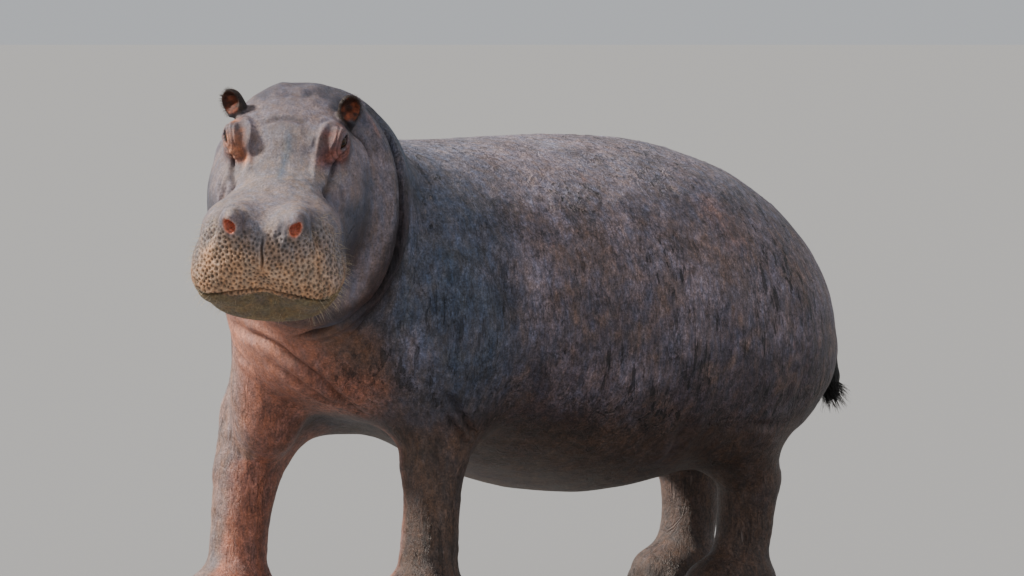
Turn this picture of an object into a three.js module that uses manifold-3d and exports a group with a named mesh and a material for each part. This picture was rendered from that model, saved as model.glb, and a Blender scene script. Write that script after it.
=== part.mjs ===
// A life-size common hippopotamus in mid-stride, with its head turned to its left.
// Millimetres. +X is the animal's left, -Y is ahead, +Z is up, and the soles stand on Z = 0.
// The body is one smooth field of lofts, lumps and limbs. Each named part is meshed from that field
// and cut from its neighbours with a thin gap.
import * as THREE from "three";
import { mergeVertices } from "three/addons/utils/BufferGeometryUtils.js";
import Module from "manifold-3d";

const wasm = await Module();
wasm.setup();

// ---------- driving dimensions ----------

const cutGap = 0.3; // between neighbouring parts
const toRadians = Math.PI / 180;
const left = 1;
const right = -1;

// Trunk sections from the chest to the rump: the place along the body, the half width at the widest
// level, and the heights of the back, of the widest level and of the belly.
const trunk = {
  power: 2.2, // 2 makes ellipses, more makes them squarer
  ends: 2.4, // the same for how the ends round off
  front: { at: -600, reach: 250 }, // where the rounded end starts, and how far it reaches
  rear: { at: 500, reach: 670 },
  sections: [
    { at: -850, half: 440, back: 1400, wide: 960, belly: 620 },
    { at: -600, half: 500, back: 1438, wide: 920, belly: 592 },
    { at: -350, half: 560, back: 1442, wide: 880, belly: 506 },
    { at: -100, half: 605, back: 1448, wide: 850, belly: 412 },
    { at: 150, half: 625, back: 1452, wide: 840, belly: 366 },
    { at: 400, half: 615, back: 1438, wide: 830, belly: 392 },
    { at: 650, half: 575, back: 1380, wide: 820, belly: 470 },
    { at: 900, half: 515, back: 1300, wide: 805, belly: 516 },
    { at: 1150, half: 420, back: 1205, wide: 790, belly: 545 },
  ],
};

// The head's frame has its origin midway between the eyes. Inside it, +X is left, -Y ahead, +Z up.
const head = { at: [378, -1240, 1428], yaw: 40, pitch: 30, roll: 3.6 };

// Lumps of the head, in its frame. A pair has its twin across the middle. reach is how far it blends.
const headLumps = [
  { name: "cranium", at: [0, 130, -40], size: [172, 195, 124], power: 2.3, reach: 90 },
  { name: "cheek", pair: true, at: [126, 45, -182], size: [110, 205, 160], power: 2.2, reach: 70 },
  { name: "bridge", at: [0, -190, -100], size: [130, 300, 96], power: 2.4, reach: 80 },
  { name: "nose", at: [0, -380, -98], size: [160, 108, 104], power: 2.6, reach: 60 },
  {
    name: "muzzle_side",
    pair: true,
    at: [105, -312, -118],
    size: [101, 138, 98],
    turn: [-4, 0, 8],
    power: 2.2,
    reach: 60,
  },
  {
    name: "lip",
    pair: true,
    at: [110, -376, -190],
    size: [112, 118, 92],
    turn: [0, 0, 10],
    power: 2.4,
    reach: 56,
  },
  { name: "mouth_side", pair: true, at: [112, -215, -215], size: [84, 170, 92], power: 2.2, reach: 50 },
  { name: "jaw", at: [0, -110, -285], size: [172, 300, 95], power: 2.4, reach: 60 },
  { name: "chin", at: [0, -335, -272], size: [186, 118, 78], power: 2.5, reach: 40 },
  { name: "brow", pair: true, at: [134, 20, 18], size: [44, 66, 46], power: 2, reach: 50 },
  { name: "nostril_mound", pair: true, at: [88, -400, -6], size: [50, 66, 40], power: 2, reach: 52 },
];

// Lumps of the body, in the body's frame.
const bodyLumps = [
  {
    name: "neck_rear",
    at: [70, -800, 1040],
    size: [340, 260, 385],
    turn: [15, -8, 0],
    power: 2.1,
    reach: 150,
  },
  {
    name: "neck_front",
    at: [200, -945, 1222],
    size: [266, 230, 362],
    turn: [30, -8, 0],
    power: 2.2,
    reach: 80,
  },
  {
    name: "jowl",
    at: [262, -1052, 1250],
    size: [250, 96, 336],
    turn: [36, -8, 0],
    power: 2.4,
    reach: 40,
  },
  { name: "brisket_right", at: [-158, -852, 695], size: [112, 112, 200], power: 2.1, reach: 80 },
  { name: "shoulder", pair: true, at: [270, -580, 900], size: [200, 220, 330], power: 2.1, reach: 140 },
  { name: "haunch_left", at: [320, 600, 780], size: [220, 310, 300], power: 2.1, reach: 120 },
  { name: "haunch_right", at: [-300, 760, 780], size: [225, 320, 310], power: 2.1, reach: 120 },
];

// Rolls of skin round the neck: hoops in the body's frame.
const neckRolls = [
  { at: [264, -1062, 1252], size: [238, 324], thick: 32, turn: [36, -8, 0], reach: 24 },
  { at: [222, -992, 1238], size: [266, 346], thick: 25, turn: [32, -8, 0], reach: 14 },
];

// Each leg: centres and radii from the top down, then the middle of the foot.
const legs = {
  foreleg_left: {
    side: left,
    joints: [
      [270, -585, 860, 165],
      [302, -566, 640, 128],
      [300, -598, 490, 95],
      [298, -606, 370, 82],
      [298, -620, 130, 88],
    ],
    foot: [300, -652, 70],
    cut: { foot: [-900, -460], shoulder: [-790, -400], spring: 600, top: 900 },
  },
  foreleg_right: {
    side: right,
    joints: [
      [265, -600, 860, 165],
      [297, -748, 610, 134],
      [295, -818, 450, 101],
      [291, -846, 330, 86],
      [288, -866, 130, 88],
    ],
    foot: [288, -898, 70],
    cut: { foot: [-1120, -690], shoulder: [-905, -440], spring: 640, top: 900 },
  },
  hindleg_left: {
    side: left,
    joints: [
      [290, 580, 780, 190],
      [344, 570, 570, 130],
      [320, 672, 400, 98],
      [308, 664, 260, 84],
      [304, 638, 130, 88],
    ],
    foot: [302, 606, 68],
    cut: { foot: [350, 850], shoulder: [290, 870], spring: 560, top: 950 },
  },
  hindleg_right: {
    side: right,
    joints: [
      [270, 780, 800, 215],
      [318, 900, 600, 160],
      [314, 1020, 410, 106],
      [306, 1012, 270, 86],
      [302, 980, 130, 88],
    ],
    foot: [298, 944, 68],
    cut: { foot: [700, 1190], shoulder: [520, 1180], spring: 560, top: 950 },
  },
};
const legCutInner = 110; // how far from the middle of the body the legs are cut away from it
const ankle = 150; // height of the cut above each foot
const sole = { half: 120, long: 150, deep: 92 };
const toes = [-84, -30, 30, 84]; // across each foot
const toe = { ahead: 112, splay: 0.5, at: 46, size: [35, 56, 46], blend: 14 };
const nail = { ahead: 42, at: 34, size: [23, 20, 24] };

const tail = [
  [0, 1100, 985, 76],
  [42, 1200, 880, 52],
  [68, 1240, 770, 36],
  [78, 1252, 690, 27],
  [82, 1250, 640, 26],
];

const eye = { at: [154, 6, 28], radius: 23 };
const ear = {
  at: [170, 128, 68],
  shell: [33, 24, 41],
  rim: 8,
  hollow: { at: [0, -19, 5], size: [25, 23, 32] },
  stalk: [[0, 8, -76, 22], [0, 3, -30, 27]],
};
const earTurns = { left: [22, -10, 14], right: [-22, -10, -36] };

// Where the neck meets the head and the trunk, and where the mouth closes, in the head's frame.
const nape = { at: [243, -1026, 1245], turn: [34, -8, 0] };
const neckBase = { at: [140, -850, 1080], turn: [20, -8, 0] };
const mouth = { height: -208, back: -30 };

// Grid steps: small where the shape turns quickly.
const steps = {
  head: 40,
  ear: 13,
  neck: 84,
  trunk: [130, 175, 122],
  tail: 44,
  leg: [68, 72, 104],
  foot: [54, 56, 50],
};

const looks = {
  hide: { color: "#66575a", roughness: 0.75, metalness: 0 },
  eye: { color: "#2c1c14", roughness: 0.15, metalness: 0 },
  nail: { color: "#4a403a", roughness: 0.55, metalness: 0 },
};

// ---------- the field ----------

// All of these return about the distance to their surface, negative inside.

function smoothMin(a, b, reach) {
  const near = Math.max(reach - Math.abs(a - b), 0);
  return Math.min(a, b) - (near * near) / (4 * reach);
}

function placed(at, turn = [0, 0, 0]) {
  const [yaw, pitch, roll] = turn.map((angle) => angle * toRadians);
  const turned = new THREE.Euler(pitch, roll, yaw, "ZXY");
  return new THREE.Matrix4().makeRotationFromEuler(turned).setPosition(...at);
}

const headFrame = placed(head.at, [head.yaw, head.pitch, head.roll]);
const bodyFrame = new THREE.Matrix4();

function inLocal(frame, shape) {
  const e = frame.clone().invert().elements;
  return (x, y, z) =>
    shape(
      e[0] * x + e[4] * y + e[8] * z + e[12],
      e[1] * x + e[5] * y + e[9] * z + e[13],
      e[2] * x + e[6] * y + e[10] * z + e[14],
    );
}

function roundness(power, a, b, c) {
  const sum = Math.pow(Math.abs(a), power) + Math.pow(Math.abs(b), power) + Math.pow(Math.abs(c), power);
  return Math.pow(sum, 1 / power);
}

function lump({ at, size, turn, power = 2 }, frame = bodyFrame) {
  const own = frame.clone().multiply(placed(at, turn));
  return inLocal(own, (x, y, z) => {
    const q = roundness(power, x / size[0], y / size[1], z / size[2]);
    return Math.hypot(x, y, z) * (1 - 1 / Math.max(q, 1e-6));
  });
}

// An item, and its mirror image when it is one of a pair.
function twins(item) {
  const [x, y, z] = item.at;
  const [yaw, pitch, roll] = item.turn ?? [0, 0, 0];
  return item.pair ? [item, { ...item, at: [-x, y, z], turn: [-yaw, pitch, -roll] }] : [item];
}

function hoop({ at, size, thick, turn }) {
  return inLocal(placed(at, turn), (x, y, z) => {
    const q = Math.max(Math.hypot(x / size[0], z / size[1]), 1e-6);
    const out = Math.hypot(x, z) * (1 - 1 / q);
    return Math.hypot(out, y) - thick;
  });
}

function limb(joints) {
  const bones = joints.slice(1).map((end, i) => ({ start: joints[i], end }));
  return (x, y, z) =>
    bones.reduce((nearest, { start, end }) => {
      const [ax, ay, az] = [end[0] - start[0], end[1] - start[1], end[2] - start[2]];
      const [px, py, pz] = [x - start[0], y - start[1], z - start[2]];
      const t = Math.min(Math.max((px * ax + py * ay + pz * az) / (ax * ax + ay * ay + az * az), 0), 1);
      const away = Math.hypot(px - t * ax, py - t * ay, pz - t * az);
      return smoothMin(nearest, away - (start[3] + t * (end[3] - start[3])), 12);
    }, 1e4);
}

// A smooth curve through values at increasing places.
function curveThrough(places, values) {
  const last = places.length - 1;
  const slopes = values.map((_, i) => {
    const [a, b] = [Math.max(i - 1, 0), Math.min(i + 1, last)];
    return (values[b] - values[a]) / (places[b] - places[a]);
  });
  return (place) => {
    const p = Math.min(Math.max(place, places[0]), places[last]);
    let i = 0;
    while (i < last - 1 && p > places[i + 1]) i++;
    const span = places[i + 1] - places[i];
    const t = (p - places[i]) / span;
    const [t2, t3] = [t * t, t * t * t];
    return (
      (2 * t3 - 3 * t2 + 1) * values[i] + (t3 - 2 * t2 + t) * span * slopes[i] +
      (3 * t2 - 2 * t3) * values[i + 1] + (t3 - t2) * span * slopes[i + 1]
    );
  };
}

function loft({ sections, power, ends, front, rear }) {
  const places = sections.map((s) => s.at);
  const [half, back, wide, belly] = ["half", "back", "wide", "belly"].map((key) =>
    curveThrough(places, sections.map((s) => s[key])),
  );
  return (x, y, z) => {
    const past = y - Math.min(Math.max(y, front.at), rear.at);
    const reach = past < 0 ? front.reach : rear.reach;
    const middle = wide(y);
    const tall = z > middle ? back(y) - middle : middle - belly(y);
    const across = roundness(power, x / half(y), (z - middle) / tall, 0);
    const q = Math.max(roundness(ends, across, past / reach, 0), 1e-6);
    return Math.hypot(x, z - middle, past) * (1 - 1 / q);
  };
}

function toePlaces({ side, foot: [x, y] }) {
  return toes.map((across) => [side * x + across, y - toe.ahead + Math.abs(across) * toe.splay]);
}

function foot(leg) {
  const [x, y, z] = leg.foot;
  const pad = lump({ at: [leg.side * x, y, z], size: [sole.half, sole.long, sole.deep], power: 2.4 });
  const fingers = toePlaces(leg).map(([tx, ty]) =>
    lump({ at: [tx, ty, toe.at], size: toe.size, power: 2.2 }),
  );
  return (px, py, pz) =>
    fingers.reduce((d, finger) => smoothMin(d, finger(px, py, pz), toe.blend), pad(px, py, pz));
}

const shapes = [
  { shape: loft(trunk), reach: 1 },
  ...bodyLumps.flatMap((item) => twins(item)).map((item) => ({ shape: lump(item), ...item })),
  ...headLumps.flatMap((item) => twins(item)).map((item) => ({ shape: lump(item, headFrame), ...item })),
  ...neckRolls.map((roll) => ({ shape: hoop(roll), reach: roll.reach })),
  ...Object.values(legs).flatMap((leg) => [
    { shape: limb(leg.joints.map(([x, y, z, r]) => [leg.side * x, y, z, r])), reach: 90 },
    { shape: foot(leg), reach: 60 },
  ]),
];

function body(x, y, z) {
  return shapes.reduce((d, { shape, reach }) => smoothMin(d, shape(x, y, z), reach), 1e4);
}

// ---------- meshes from a field ----------

const cellCorners = [0, 1, 2, 3, 4, 5, 6, 7].map((c) => [c & 1, (c >> 1) & 1, c >> 2]);
const cellEdges = cellCorners.flatMap((a, i) =>
  cellCorners.slice(i + 1).flatMap((b) => (a.filter((v, n) => v !== b[n]).length === 1 ? [[a, b]] : [])),
);

// Field values on a grid whose outermost layer counts as outside, so that every mesh closes.
function sample(field, low, high, step) {
  const count = low.map((l, n) => Math.ceil((high[n] - l) / step[n]) + 3);
  const spot = (n, i) => low[n] + (i - 1) * step[n];
  const index = (i, j, k) => i + count[0] * (j + count[1] * k);
  const values = new Float64Array(count[0] * count[1] * count[2]);
  for (let k = 0; k < count[2]; k++)
    for (let j = 0; j < count[1]; j++)
      for (let i = 0; i < count[0]; i++) {
        const rim = [i, j, k].some((c, n) => c < 1 || c > count[n] - 2);
        const d = field(spot(0, i), spot(1, j), spot(2, k));
        values[index(i, j, k)] = rim ? Math.max(d, 1) : d;
      }
  return { count, spot, index, values };
}

// The middle of the places where the surface crosses the edges of a cell.
function crossing({ index, values }, cell) {
  const sum = [0, 0, 0];
  let crossings = 0;
  for (const [a, b] of cellEdges) {
    const va = values[index(cell[0] + a[0], cell[1] + a[1], cell[2] + a[2])];
    const vb = values[index(cell[0] + b[0], cell[1] + b[1], cell[2] + b[2])];
    if (va < 0 === vb < 0) continue;
    const t = va / (va - vb);
    for (let n = 0; n < 3; n++) sum[n] += a[n] + t * (b[n] - a[n]);
    crossings++;
  }
  return crossings ? sum.map((v, n) => cell[n] + v / crossings) : null;
}

// A point near the surface moved onto it, along the slope of the field.
function settled(field, point, most) {
  const d = field(...point);
  if (Math.abs(d) > most) return point;
  const slope = point.map((v, n) => field(...point.with(n, v + 1)) - d);
  const steep = Math.max(Math.hypot(...slope) ** 2, 0.3);
  return point.map((v, n) => v - (d * slope[n]) / steep);
}

// A closed mesh of a field: a vertex in each cell that the surface crosses, and two triangles
// across each grid edge that it crosses.
function meshOf(field, low, high, size) {
  const step = typeof size === "number" ? [size, size, size] : size;
  const grid = sample(field, low, high, step);
  const { count, spot, index, values } = grid;
  const vertexOf = new Int32Array(values.length).fill(-1);
  const positions = [];
  for (let k = 0; k < count[2] - 1; k++)
    for (let j = 0; j < count[1] - 1; j++)
      for (let i = 0; i < count[0] - 1; i++) {
        const middle = crossing(grid, [i, j, k]);
        if (!middle) continue;
        vertexOf[index(i, j, k)] = positions.length / 3;
        const point = middle.map((m, n) => spot(n, m));
        positions.push(...settled(field, point, Math.min(...step) / 3));
      }
  const triangles = [];
  for (let k = 0; k < count[2] - 1; k++)
    for (let j = 0; j < count[1] - 1; j++)
      for (let i = 0; i < count[0] - 1; i++)
        for (let axis = 0; axis < 3; axis++) {
          const next = [i, j, k];
          next[axis]++;
          const inside = values[index(i, j, k)] < 0;
          if (inside === values[index(...next)] < 0) continue;
          const ring = ringAround([i, j, k], axis).map((cell) => vertexOf[index(...cell)]);
          triangles.push(...halves(positions, inside ? ring : ring.reverse()));
        }
  return { positions, triangles };
}

// The four cells round a grid edge.
function ringAround(corner, axis) {
  return [[0, 0], [1, 0], [1, 1], [0, 1]].map(([du, dv]) => {
    const cell = [...corner];
    cell[(axis + 1) % 3] -= du;
    cell[(axis + 2) % 3] -= dv;
    return cell;
  });
}

// A four-sided patch split along its shorter diagonal.
function halves(positions, [a, b, c, d]) {
  const apart = (v, w) => Math.hypot(...[0, 1, 2].map((n) => positions[3 * v + n] - positions[3 * w + n]));
  return apart(a, c) < apart(b, d) ? [a, b, c, a, c, d] : [b, c, d, b, d, a];
}

function solidOf({ positions, triangles }) {
  const vertProperties = new Float32Array(positions);
  const triVerts = new Uint32Array(triangles);
  return new wasm.Manifold(new wasm.Mesh({ numProp: 3, vertProperties, triVerts }));
}

// The mesh of a field in a box. Where two folds share one cell the grid is shifted and tried again.
function closedMesh(field, low, high, size) {
  for (const shift of [0, 0.15, 0.3, 0.45, 0.6, 0.75, 0.9]) {
    const start = low.map((l, n) => l - shift * (typeof size === "number" ? size : size[n]));
    const mesh = meshOf(field, start, high, size);
    if (closes(mesh)) return mesh;
  }
  throw new Error("no grid position closes this mesh");
}

// Whether each side of each triangle meets exactly one other, which runs the other way.
function closes({ triangles }) {
  const sides = new Set();
  for (let t = 0; t < triangles.length; t += 3)
    for (let n = 0; n < 3; n++) {
      const side = `${triangles[t + n]} ${triangles[t + ((n + 1) % 3)]}`;
      if (sides.has(side)) return false;
      sides.add(side);
    }
  return [...sides].every((side) => sides.has(side.split(" ").reverse().join(" ")));
}

function geometryFrom({ positions, triangles }) {
  const geometry = new THREE.BufferGeometry();
  geometry.setAttribute("position", new THREE.Float32BufferAttribute(positions, 3));
  return geometry.setIndex([...triangles]);
}

// The same mesh with every vertex moved outwards, to make room for what is set into a socket.
function swollen(mesh, grow) {
  const geometry = geometryFrom(mesh);
  geometry.computeVertexNormals();
  const normals = geometry.getAttribute("normal").array;
  return { ...mesh, positions: mesh.positions.map((v, n) => v + 1.5 * grow * normals[n]) };
}

function solidIn(field, low, high, size) {
  return solidOf(closedMesh(field, low, high, size));
}

function solidFrom(geometry) {
  const bare = new THREE.BufferGeometry().setAttribute("position", geometry.getAttribute("position"));
  bare.setIndex(geometry.getIndex());
  const merged = mergeVertices(bare, 1e-3);
  return solidOf({ positions: merged.getAttribute("position").array, triangles: merged.getIndex().array });
}

// ---------- cutting tools ----------

const reach = 4000; // longer than the animal

// Everything that lies more than `past` ahead of an upright plane.
function aheadOf({ at, turn }, past) {
  const block = new THREE.BoxGeometry(reach, reach, reach).translate(0, -reach / 2 - past, 0);
  return solidFrom(block.applyMatrix4(placed(at, turn)));
}

function below(height) {
  return solidFrom(new THREE.BoxGeometry(reach, reach, reach).translate(0, 0, height - reach / 2));
}

// The space of the lower jaw: below the mouth and ahead of its corners.
function jawSpace(grow) {
  const block = new THREE.BoxGeometry(reach, reach, reach);
  block.translate(0, mouth.back + grow - reach / 2, mouth.height + grow - reach / 2);
  return solidFrom(block.applyMatrix4(headFrame));
}

// The space of one leg: an arch seen from the side, from near the middle of the body outwards.
function legSpace({ side, cut }, grow) {
  const [footFront, footRear] = [cut.foot[0] - grow, cut.foot[1] + grow];
  const [front, rear] = [cut.shoulder[0] - grow, cut.shoulder[1] + grow];
  const outline = new THREE.Shape();
  outline.moveTo(footFront, -50);
  outline.lineTo(footFront, 200);
  outline.lineTo(front, cut.spring);
  const rise = cut.top - cut.spring + grow;
  outline.absellipse((front + rear) / 2, cut.spring, (rear - front) / 2, rise, Math.PI, 0, true, 0);
  outline.lineTo(footRear, 200);
  outline.lineTo(footRear, -50);
  const block = new THREE.ExtrudeGeometry(outline, { depth: 900, bevelEnabled: false, curveSegments: 12 });
  const sideways = new THREE.Matrix4().makeBasis(
    new THREE.Vector3(0, 1, 0),
    new THREE.Vector3(0, 0, 1),
    new THREE.Vector3(1, 0, 0),
  );
  const inner = legCutInner - grow;
  block.applyMatrix4(sideways).translate(side === left ? inner : -inner - 900, 0, 0);
  return solidFrom(block);
}

// ---------- parts ----------

const pieces = [];

function add(name, solid, look) {
  pieces.push({ name, solid, look });
}

const sides = { left, right };

function eyeball(name, grow) {
  const ball = new THREE.SphereGeometry(eye.radius + grow, 12, 8);
  const [x, y, z] = eye.at;
  return solidFrom(ball.applyMatrix4(headFrame.clone().multiply(placed([sides[name] * x, y, z]))));
}

function earShape(name, grow) {
  const [x, y, z] = ear.at;
  const frame = headFrame.clone().multiply(placed([sides[name] * x, y, z], earTurns[name]));
  const shell = lump({ at: [0, 0, 0], size: ear.shell });
  const hollow = lump(ear.hollow);
  const stalk = limb(ear.stalk);
  const cup = (px, py, pz) => -smoothMin(-shell(px, py, pz), hollow(px, py, pz), ear.rim);
  const field = (px, py, pz) => smoothMin(cup(px, py, pz), stalk(px, py, pz), 20);
  const mesh = closedMesh(field, [-60, -50, -110], [60, 50, 60], steps.ear);
  return solidOf(swollen(mesh, grow)).transform(frame.elements);
}

function tailShape(grow) {
  const mesh = closedMesh(limb(tail), [-120, 980, 580], [180, 1320, 1120], steps.tail);
  return solidOf(swollen(mesh, grow));
}

function nails(leg, grow) {
  return toePlaces(leg).map(([x, y]) => {
    const shape = new THREE.SphereGeometry(1, 6, 4);
    shape.scale(...nail.size.map((radius) => radius + grow));
    return solidFrom(shape.translate(x, y - nail.ahead, nail.at));
  });
}

function union(solids) {
  return solids.reduce((all, one) => all.add(one));
}

function addHead() {
  const flesh = solidIn(body, [-150, -1800, 780], [900, -820, 1720], steps.head);
  const front = flesh.intersect(aheadOf(nape, cutGap / 2));
  const inlaid = Object.keys(sides).flatMap((side) => [eyeball(side, cutGap), earShape(side, cutGap)]);
  add("head", front.subtract(jawSpace(cutGap)).subtract(union(inlaid)), looks.hide);
  add("lower_jaw", front.intersect(jawSpace(0)), looks.hide);
  for (const side of Object.keys(sides)) {
    add(`ear_${side}`, earShape(side, 0), looks.hide);
    add(`eye_${side}`, eyeball(side, 0), looks.eye);
  }
}

function addNeck() {
  const flesh = solidIn(body, [-500, -1500, 500], [800, -560, 1760], steps.neck);
  const between = flesh.intersect(aheadOf(neckBase, cutGap / 2)).subtract(aheadOf(nape, -cutGap / 2));
  add("neck", between, looks.hide);
}

function addTrunk() {
  const flesh = solidIn(body, [-760, -1300, 60], [760, 1400, 1640], steps.trunk);
  const spaces = Object.values(legs).map((leg) => legSpace(leg, cutGap));
  const rest = flesh.subtract(aheadOf(neckBase, -cutGap / 2)).subtract(union(spaces));
  add("trunk", rest.subtract(tailShape(cutGap)), looks.hide);
  add("tail", tailShape(0), looks.hide);
}

function addLeg(name, leg) {
  const near = leg.side === left ? [50, 760] : [-760, -50];
  const ends = [...leg.cut.foot, ...leg.cut.shoulder];
  const rows = [Math.min(...ends) - 80, Math.max(...ends) + 80];
  const space = legSpace(leg, 0);
  const upper = solidIn(body, [near[0], rows[0], 90], [near[1], rows[1], 1010], steps.leg);
  add(name, upper.intersect(space).subtract(below(ankle + cutGap / 2)), looks.hide);
  const lower = solidIn(body, [near[0], rows[0], -60], [near[1], rows[1], 230], steps.foot);
  const pad = lower.intersect(space).intersect(below(ankle - cutGap / 2)).subtract(below(0));
  add(`${name}_foot`, pad.subtract(union(nails(leg, cutGap))), looks.hide);
  nails(leg, 0).forEach((one, i) => add(`${name}_nail_${i + 1}`, one, looks.nail));
}

addHead();
addNeck();
addTrunk();
for (const [name, leg] of Object.entries(legs)) addLeg(name, leg);

const hippopotamus = new THREE.Group();
hippopotamus.name = "hippopotamus";
for (const { name, solid, look } of pieces) {
  const { vertProperties, triVerts } = solid.getMesh();
  const geometry = geometryFrom({ positions: vertProperties, triangles: triVerts });
  const mesh = new THREE.Mesh(geometry, new THREE.MeshStandardMaterial(look));
  mesh.name = name;
  hippopotamus.add(mesh);
}

// The middle of the animal's own box stands on the origin.
const middle = new THREE.Box3().setFromObject(hippopotamus).getCenter(new THREE.Vector3());
hippopotamus.position.set(-middle.x, -middle.y, 0);

export default hippopotamus;
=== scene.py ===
import math
import time

import bmesh
import bpy
import numpy as np
from mathutils import Matrix, Vector
from mathutils.kdtree import KDTree


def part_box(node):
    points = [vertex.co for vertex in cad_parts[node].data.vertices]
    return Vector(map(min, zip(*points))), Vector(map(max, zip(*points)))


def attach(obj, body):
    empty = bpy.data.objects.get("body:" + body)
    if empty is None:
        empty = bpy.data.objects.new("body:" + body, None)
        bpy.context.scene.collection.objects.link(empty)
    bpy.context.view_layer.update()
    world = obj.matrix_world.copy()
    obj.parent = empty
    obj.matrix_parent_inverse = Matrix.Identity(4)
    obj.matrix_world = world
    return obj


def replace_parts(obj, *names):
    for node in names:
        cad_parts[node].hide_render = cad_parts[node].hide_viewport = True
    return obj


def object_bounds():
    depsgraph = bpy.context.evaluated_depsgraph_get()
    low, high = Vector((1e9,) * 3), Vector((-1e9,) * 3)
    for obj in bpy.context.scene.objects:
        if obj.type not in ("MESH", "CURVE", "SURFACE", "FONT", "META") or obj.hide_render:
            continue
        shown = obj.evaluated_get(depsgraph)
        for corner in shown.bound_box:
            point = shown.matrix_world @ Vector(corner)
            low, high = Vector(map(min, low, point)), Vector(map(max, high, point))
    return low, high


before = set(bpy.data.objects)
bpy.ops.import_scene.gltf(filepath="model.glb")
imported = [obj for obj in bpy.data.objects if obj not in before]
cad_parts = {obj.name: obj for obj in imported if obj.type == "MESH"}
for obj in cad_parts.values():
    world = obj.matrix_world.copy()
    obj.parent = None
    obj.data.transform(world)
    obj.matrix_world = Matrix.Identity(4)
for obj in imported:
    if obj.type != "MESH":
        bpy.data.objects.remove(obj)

began = time.time()
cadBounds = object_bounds()
rng = np.random.default_rng(7)
mm = 0.001


def report(words):
    print(f"{time.time() - began:6.1f} s  {words}")


# Turns and frames, in the frame of the model: +X is the animal's left, -Y ahead, +Z up.
def turned(yaw=0, pitch=0, roll=0):
    a, b, c = (math.radians(v) for v in (yaw, pitch, roll))
    about = lambda axis, angle: np.array(Matrix.Rotation(angle, 3, axis))
    return about("Z", a) @ about("X", b) @ about("Y", c)


def toWorld(local, points):
    return np.asarray(points, float) @ local["axes"].T + local["origin"]


def toLocal(local, points):
    return (points - local["origin"]) @ local["axes"]


def unit(v):
    return v / np.maximum(np.linalg.norm(v, axis=-1, keepdims=True), 1e-9)


def ramp(x, low, high):
    t = np.clip((x - low) / (high - low), 0, 1)
    return t * t * (3 - 2 * t)


def bump(x, width):
    return np.exp(-((x / width) ** 2))


def smoothMin(a, b, reach):
    near = np.maximum(reach - np.abs(a - b), 0)
    return np.minimum(a, b) - near * near / (4 * reach)


# The head's own frame has its origin midway between the eyes. Its place comes from the left eye.
headPose = {
    "eye": (0.154, 0.006, 0.028), "yaw": 40, "pitch": 30, "roll": 3.6,
    "bodyPlace": (0.378, -1.24, 1.428),
}
headAxes = turned(headPose["yaw"], headPose["pitch"], headPose["roll"])
low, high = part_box("eye_left")
eyeMiddle = (np.array(low) + np.array(high)) / 2
head = {"axes": headAxes, "origin": eyeMiddle - headAxes @ np.array(headPose["eye"])}
body = {"axes": np.eye(3), "origin": head["origin"] - np.array(headPose["bodyPlace"])}

# Sizes of the flesh in millimetres, the same as the solids have. A pair has its twin across the middle.
trunkForm = {
    "power": 2.2, "ends": 2.4, "front": (-600, 250), "rear": (500, 670),
    "at": (-850, -600, -350, -100, 150, 400, 650, 900, 1150),
    "half": (440, 500, 560, 605, 625, 615, 575, 515, 420),
    "back": (1400, 1438, 1442, 1448, 1452, 1438, 1380, 1300, 1205),
    "wide": (960, 920, 880, 850, 840, 830, 820, 805, 790),
    "belly": (620, 592, 506, 412, 366, 392, 470, 516, 545),
}
headForm = [  # place, size, squareness, how far it blends, turn
    dict(name="cranium", at=(0, 130, -40), size=(172, 195, 124), power=2.3, reach=90),
    dict(name="cheek", pair=True, at=(126, 45, -182), size=(110, 205, 160), power=2.2, reach=70),
    dict(name="bridge", at=(0, -190, -100), size=(130, 300, 96), power=2.4, reach=80),
    dict(name="nose", at=(0, -380, -98), size=(160, 108, 104), power=2.6, reach=60),
    dict(name="muzzleSide", pair=True, at=(105, -312, -118), size=(101, 138, 98), power=2.2, reach=60,
         turn=(-4, 0, 8)),
    dict(name="lip", pair=True, at=(110, -376, -190), size=(112, 118, 92), power=2.4, reach=56,
         turn=(0, 0, 10)),
    dict(name="mouthSide", pair=True, at=(112, -215, -215), size=(84, 170, 92), power=2.2, reach=50),
    dict(name="jaw", at=(0, -110, -285), size=(172, 300, 95), power=2.4, reach=60),
    dict(name="chin", at=(0, -335, -272), size=(186, 118, 78), power=2.5, reach=40),
    dict(name="brow", pair=True, at=(134, 20, 18), size=(44, 66, 46), power=2, reach=50),
    dict(name="nostrilMound", pair=True, at=(88, -400, -6), size=(50, 66, 40), power=2, reach=52),
]
bodyForm = [
    dict(name="neckRear", at=(70, -800, 1040), size=(340, 260, 385), turn=(15, -8, 0), power=2.1, reach=150),
    dict(name="neckFront", at=(200, -945, 1222), size=(266, 230, 362), turn=(30, -8, 0), power=2.2, reach=80),
    dict(name="jowl", at=(262, -1052, 1250), size=(250, 96, 336), turn=(36, -8, 0), power=2.4, reach=40),
    dict(name="brisketRight", at=(-158, -852, 695), size=(112, 112, 200), power=2.1, reach=80),
    dict(name="shoulder", pair=True, at=(270, -580, 900), size=(200, 220, 330), power=2.1, reach=140),
    dict(name="haunchLeft", at=(320, 600, 780), size=(220, 310, 300), power=2.1, reach=120),
    dict(name="haunchRight", at=(-300, 760, 780), size=(225, 320, 310), power=2.1, reach=120),
]
neckRolls = [
    dict(at=(264, -1062, 1252), size=(238, 324), thick=32, turn=(36, -8, 0), reach=24),
    dict(at=(222, -992, 1238), size=(266, 346), thick=25, turn=(32, -8, 0), reach=14),
]
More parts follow.
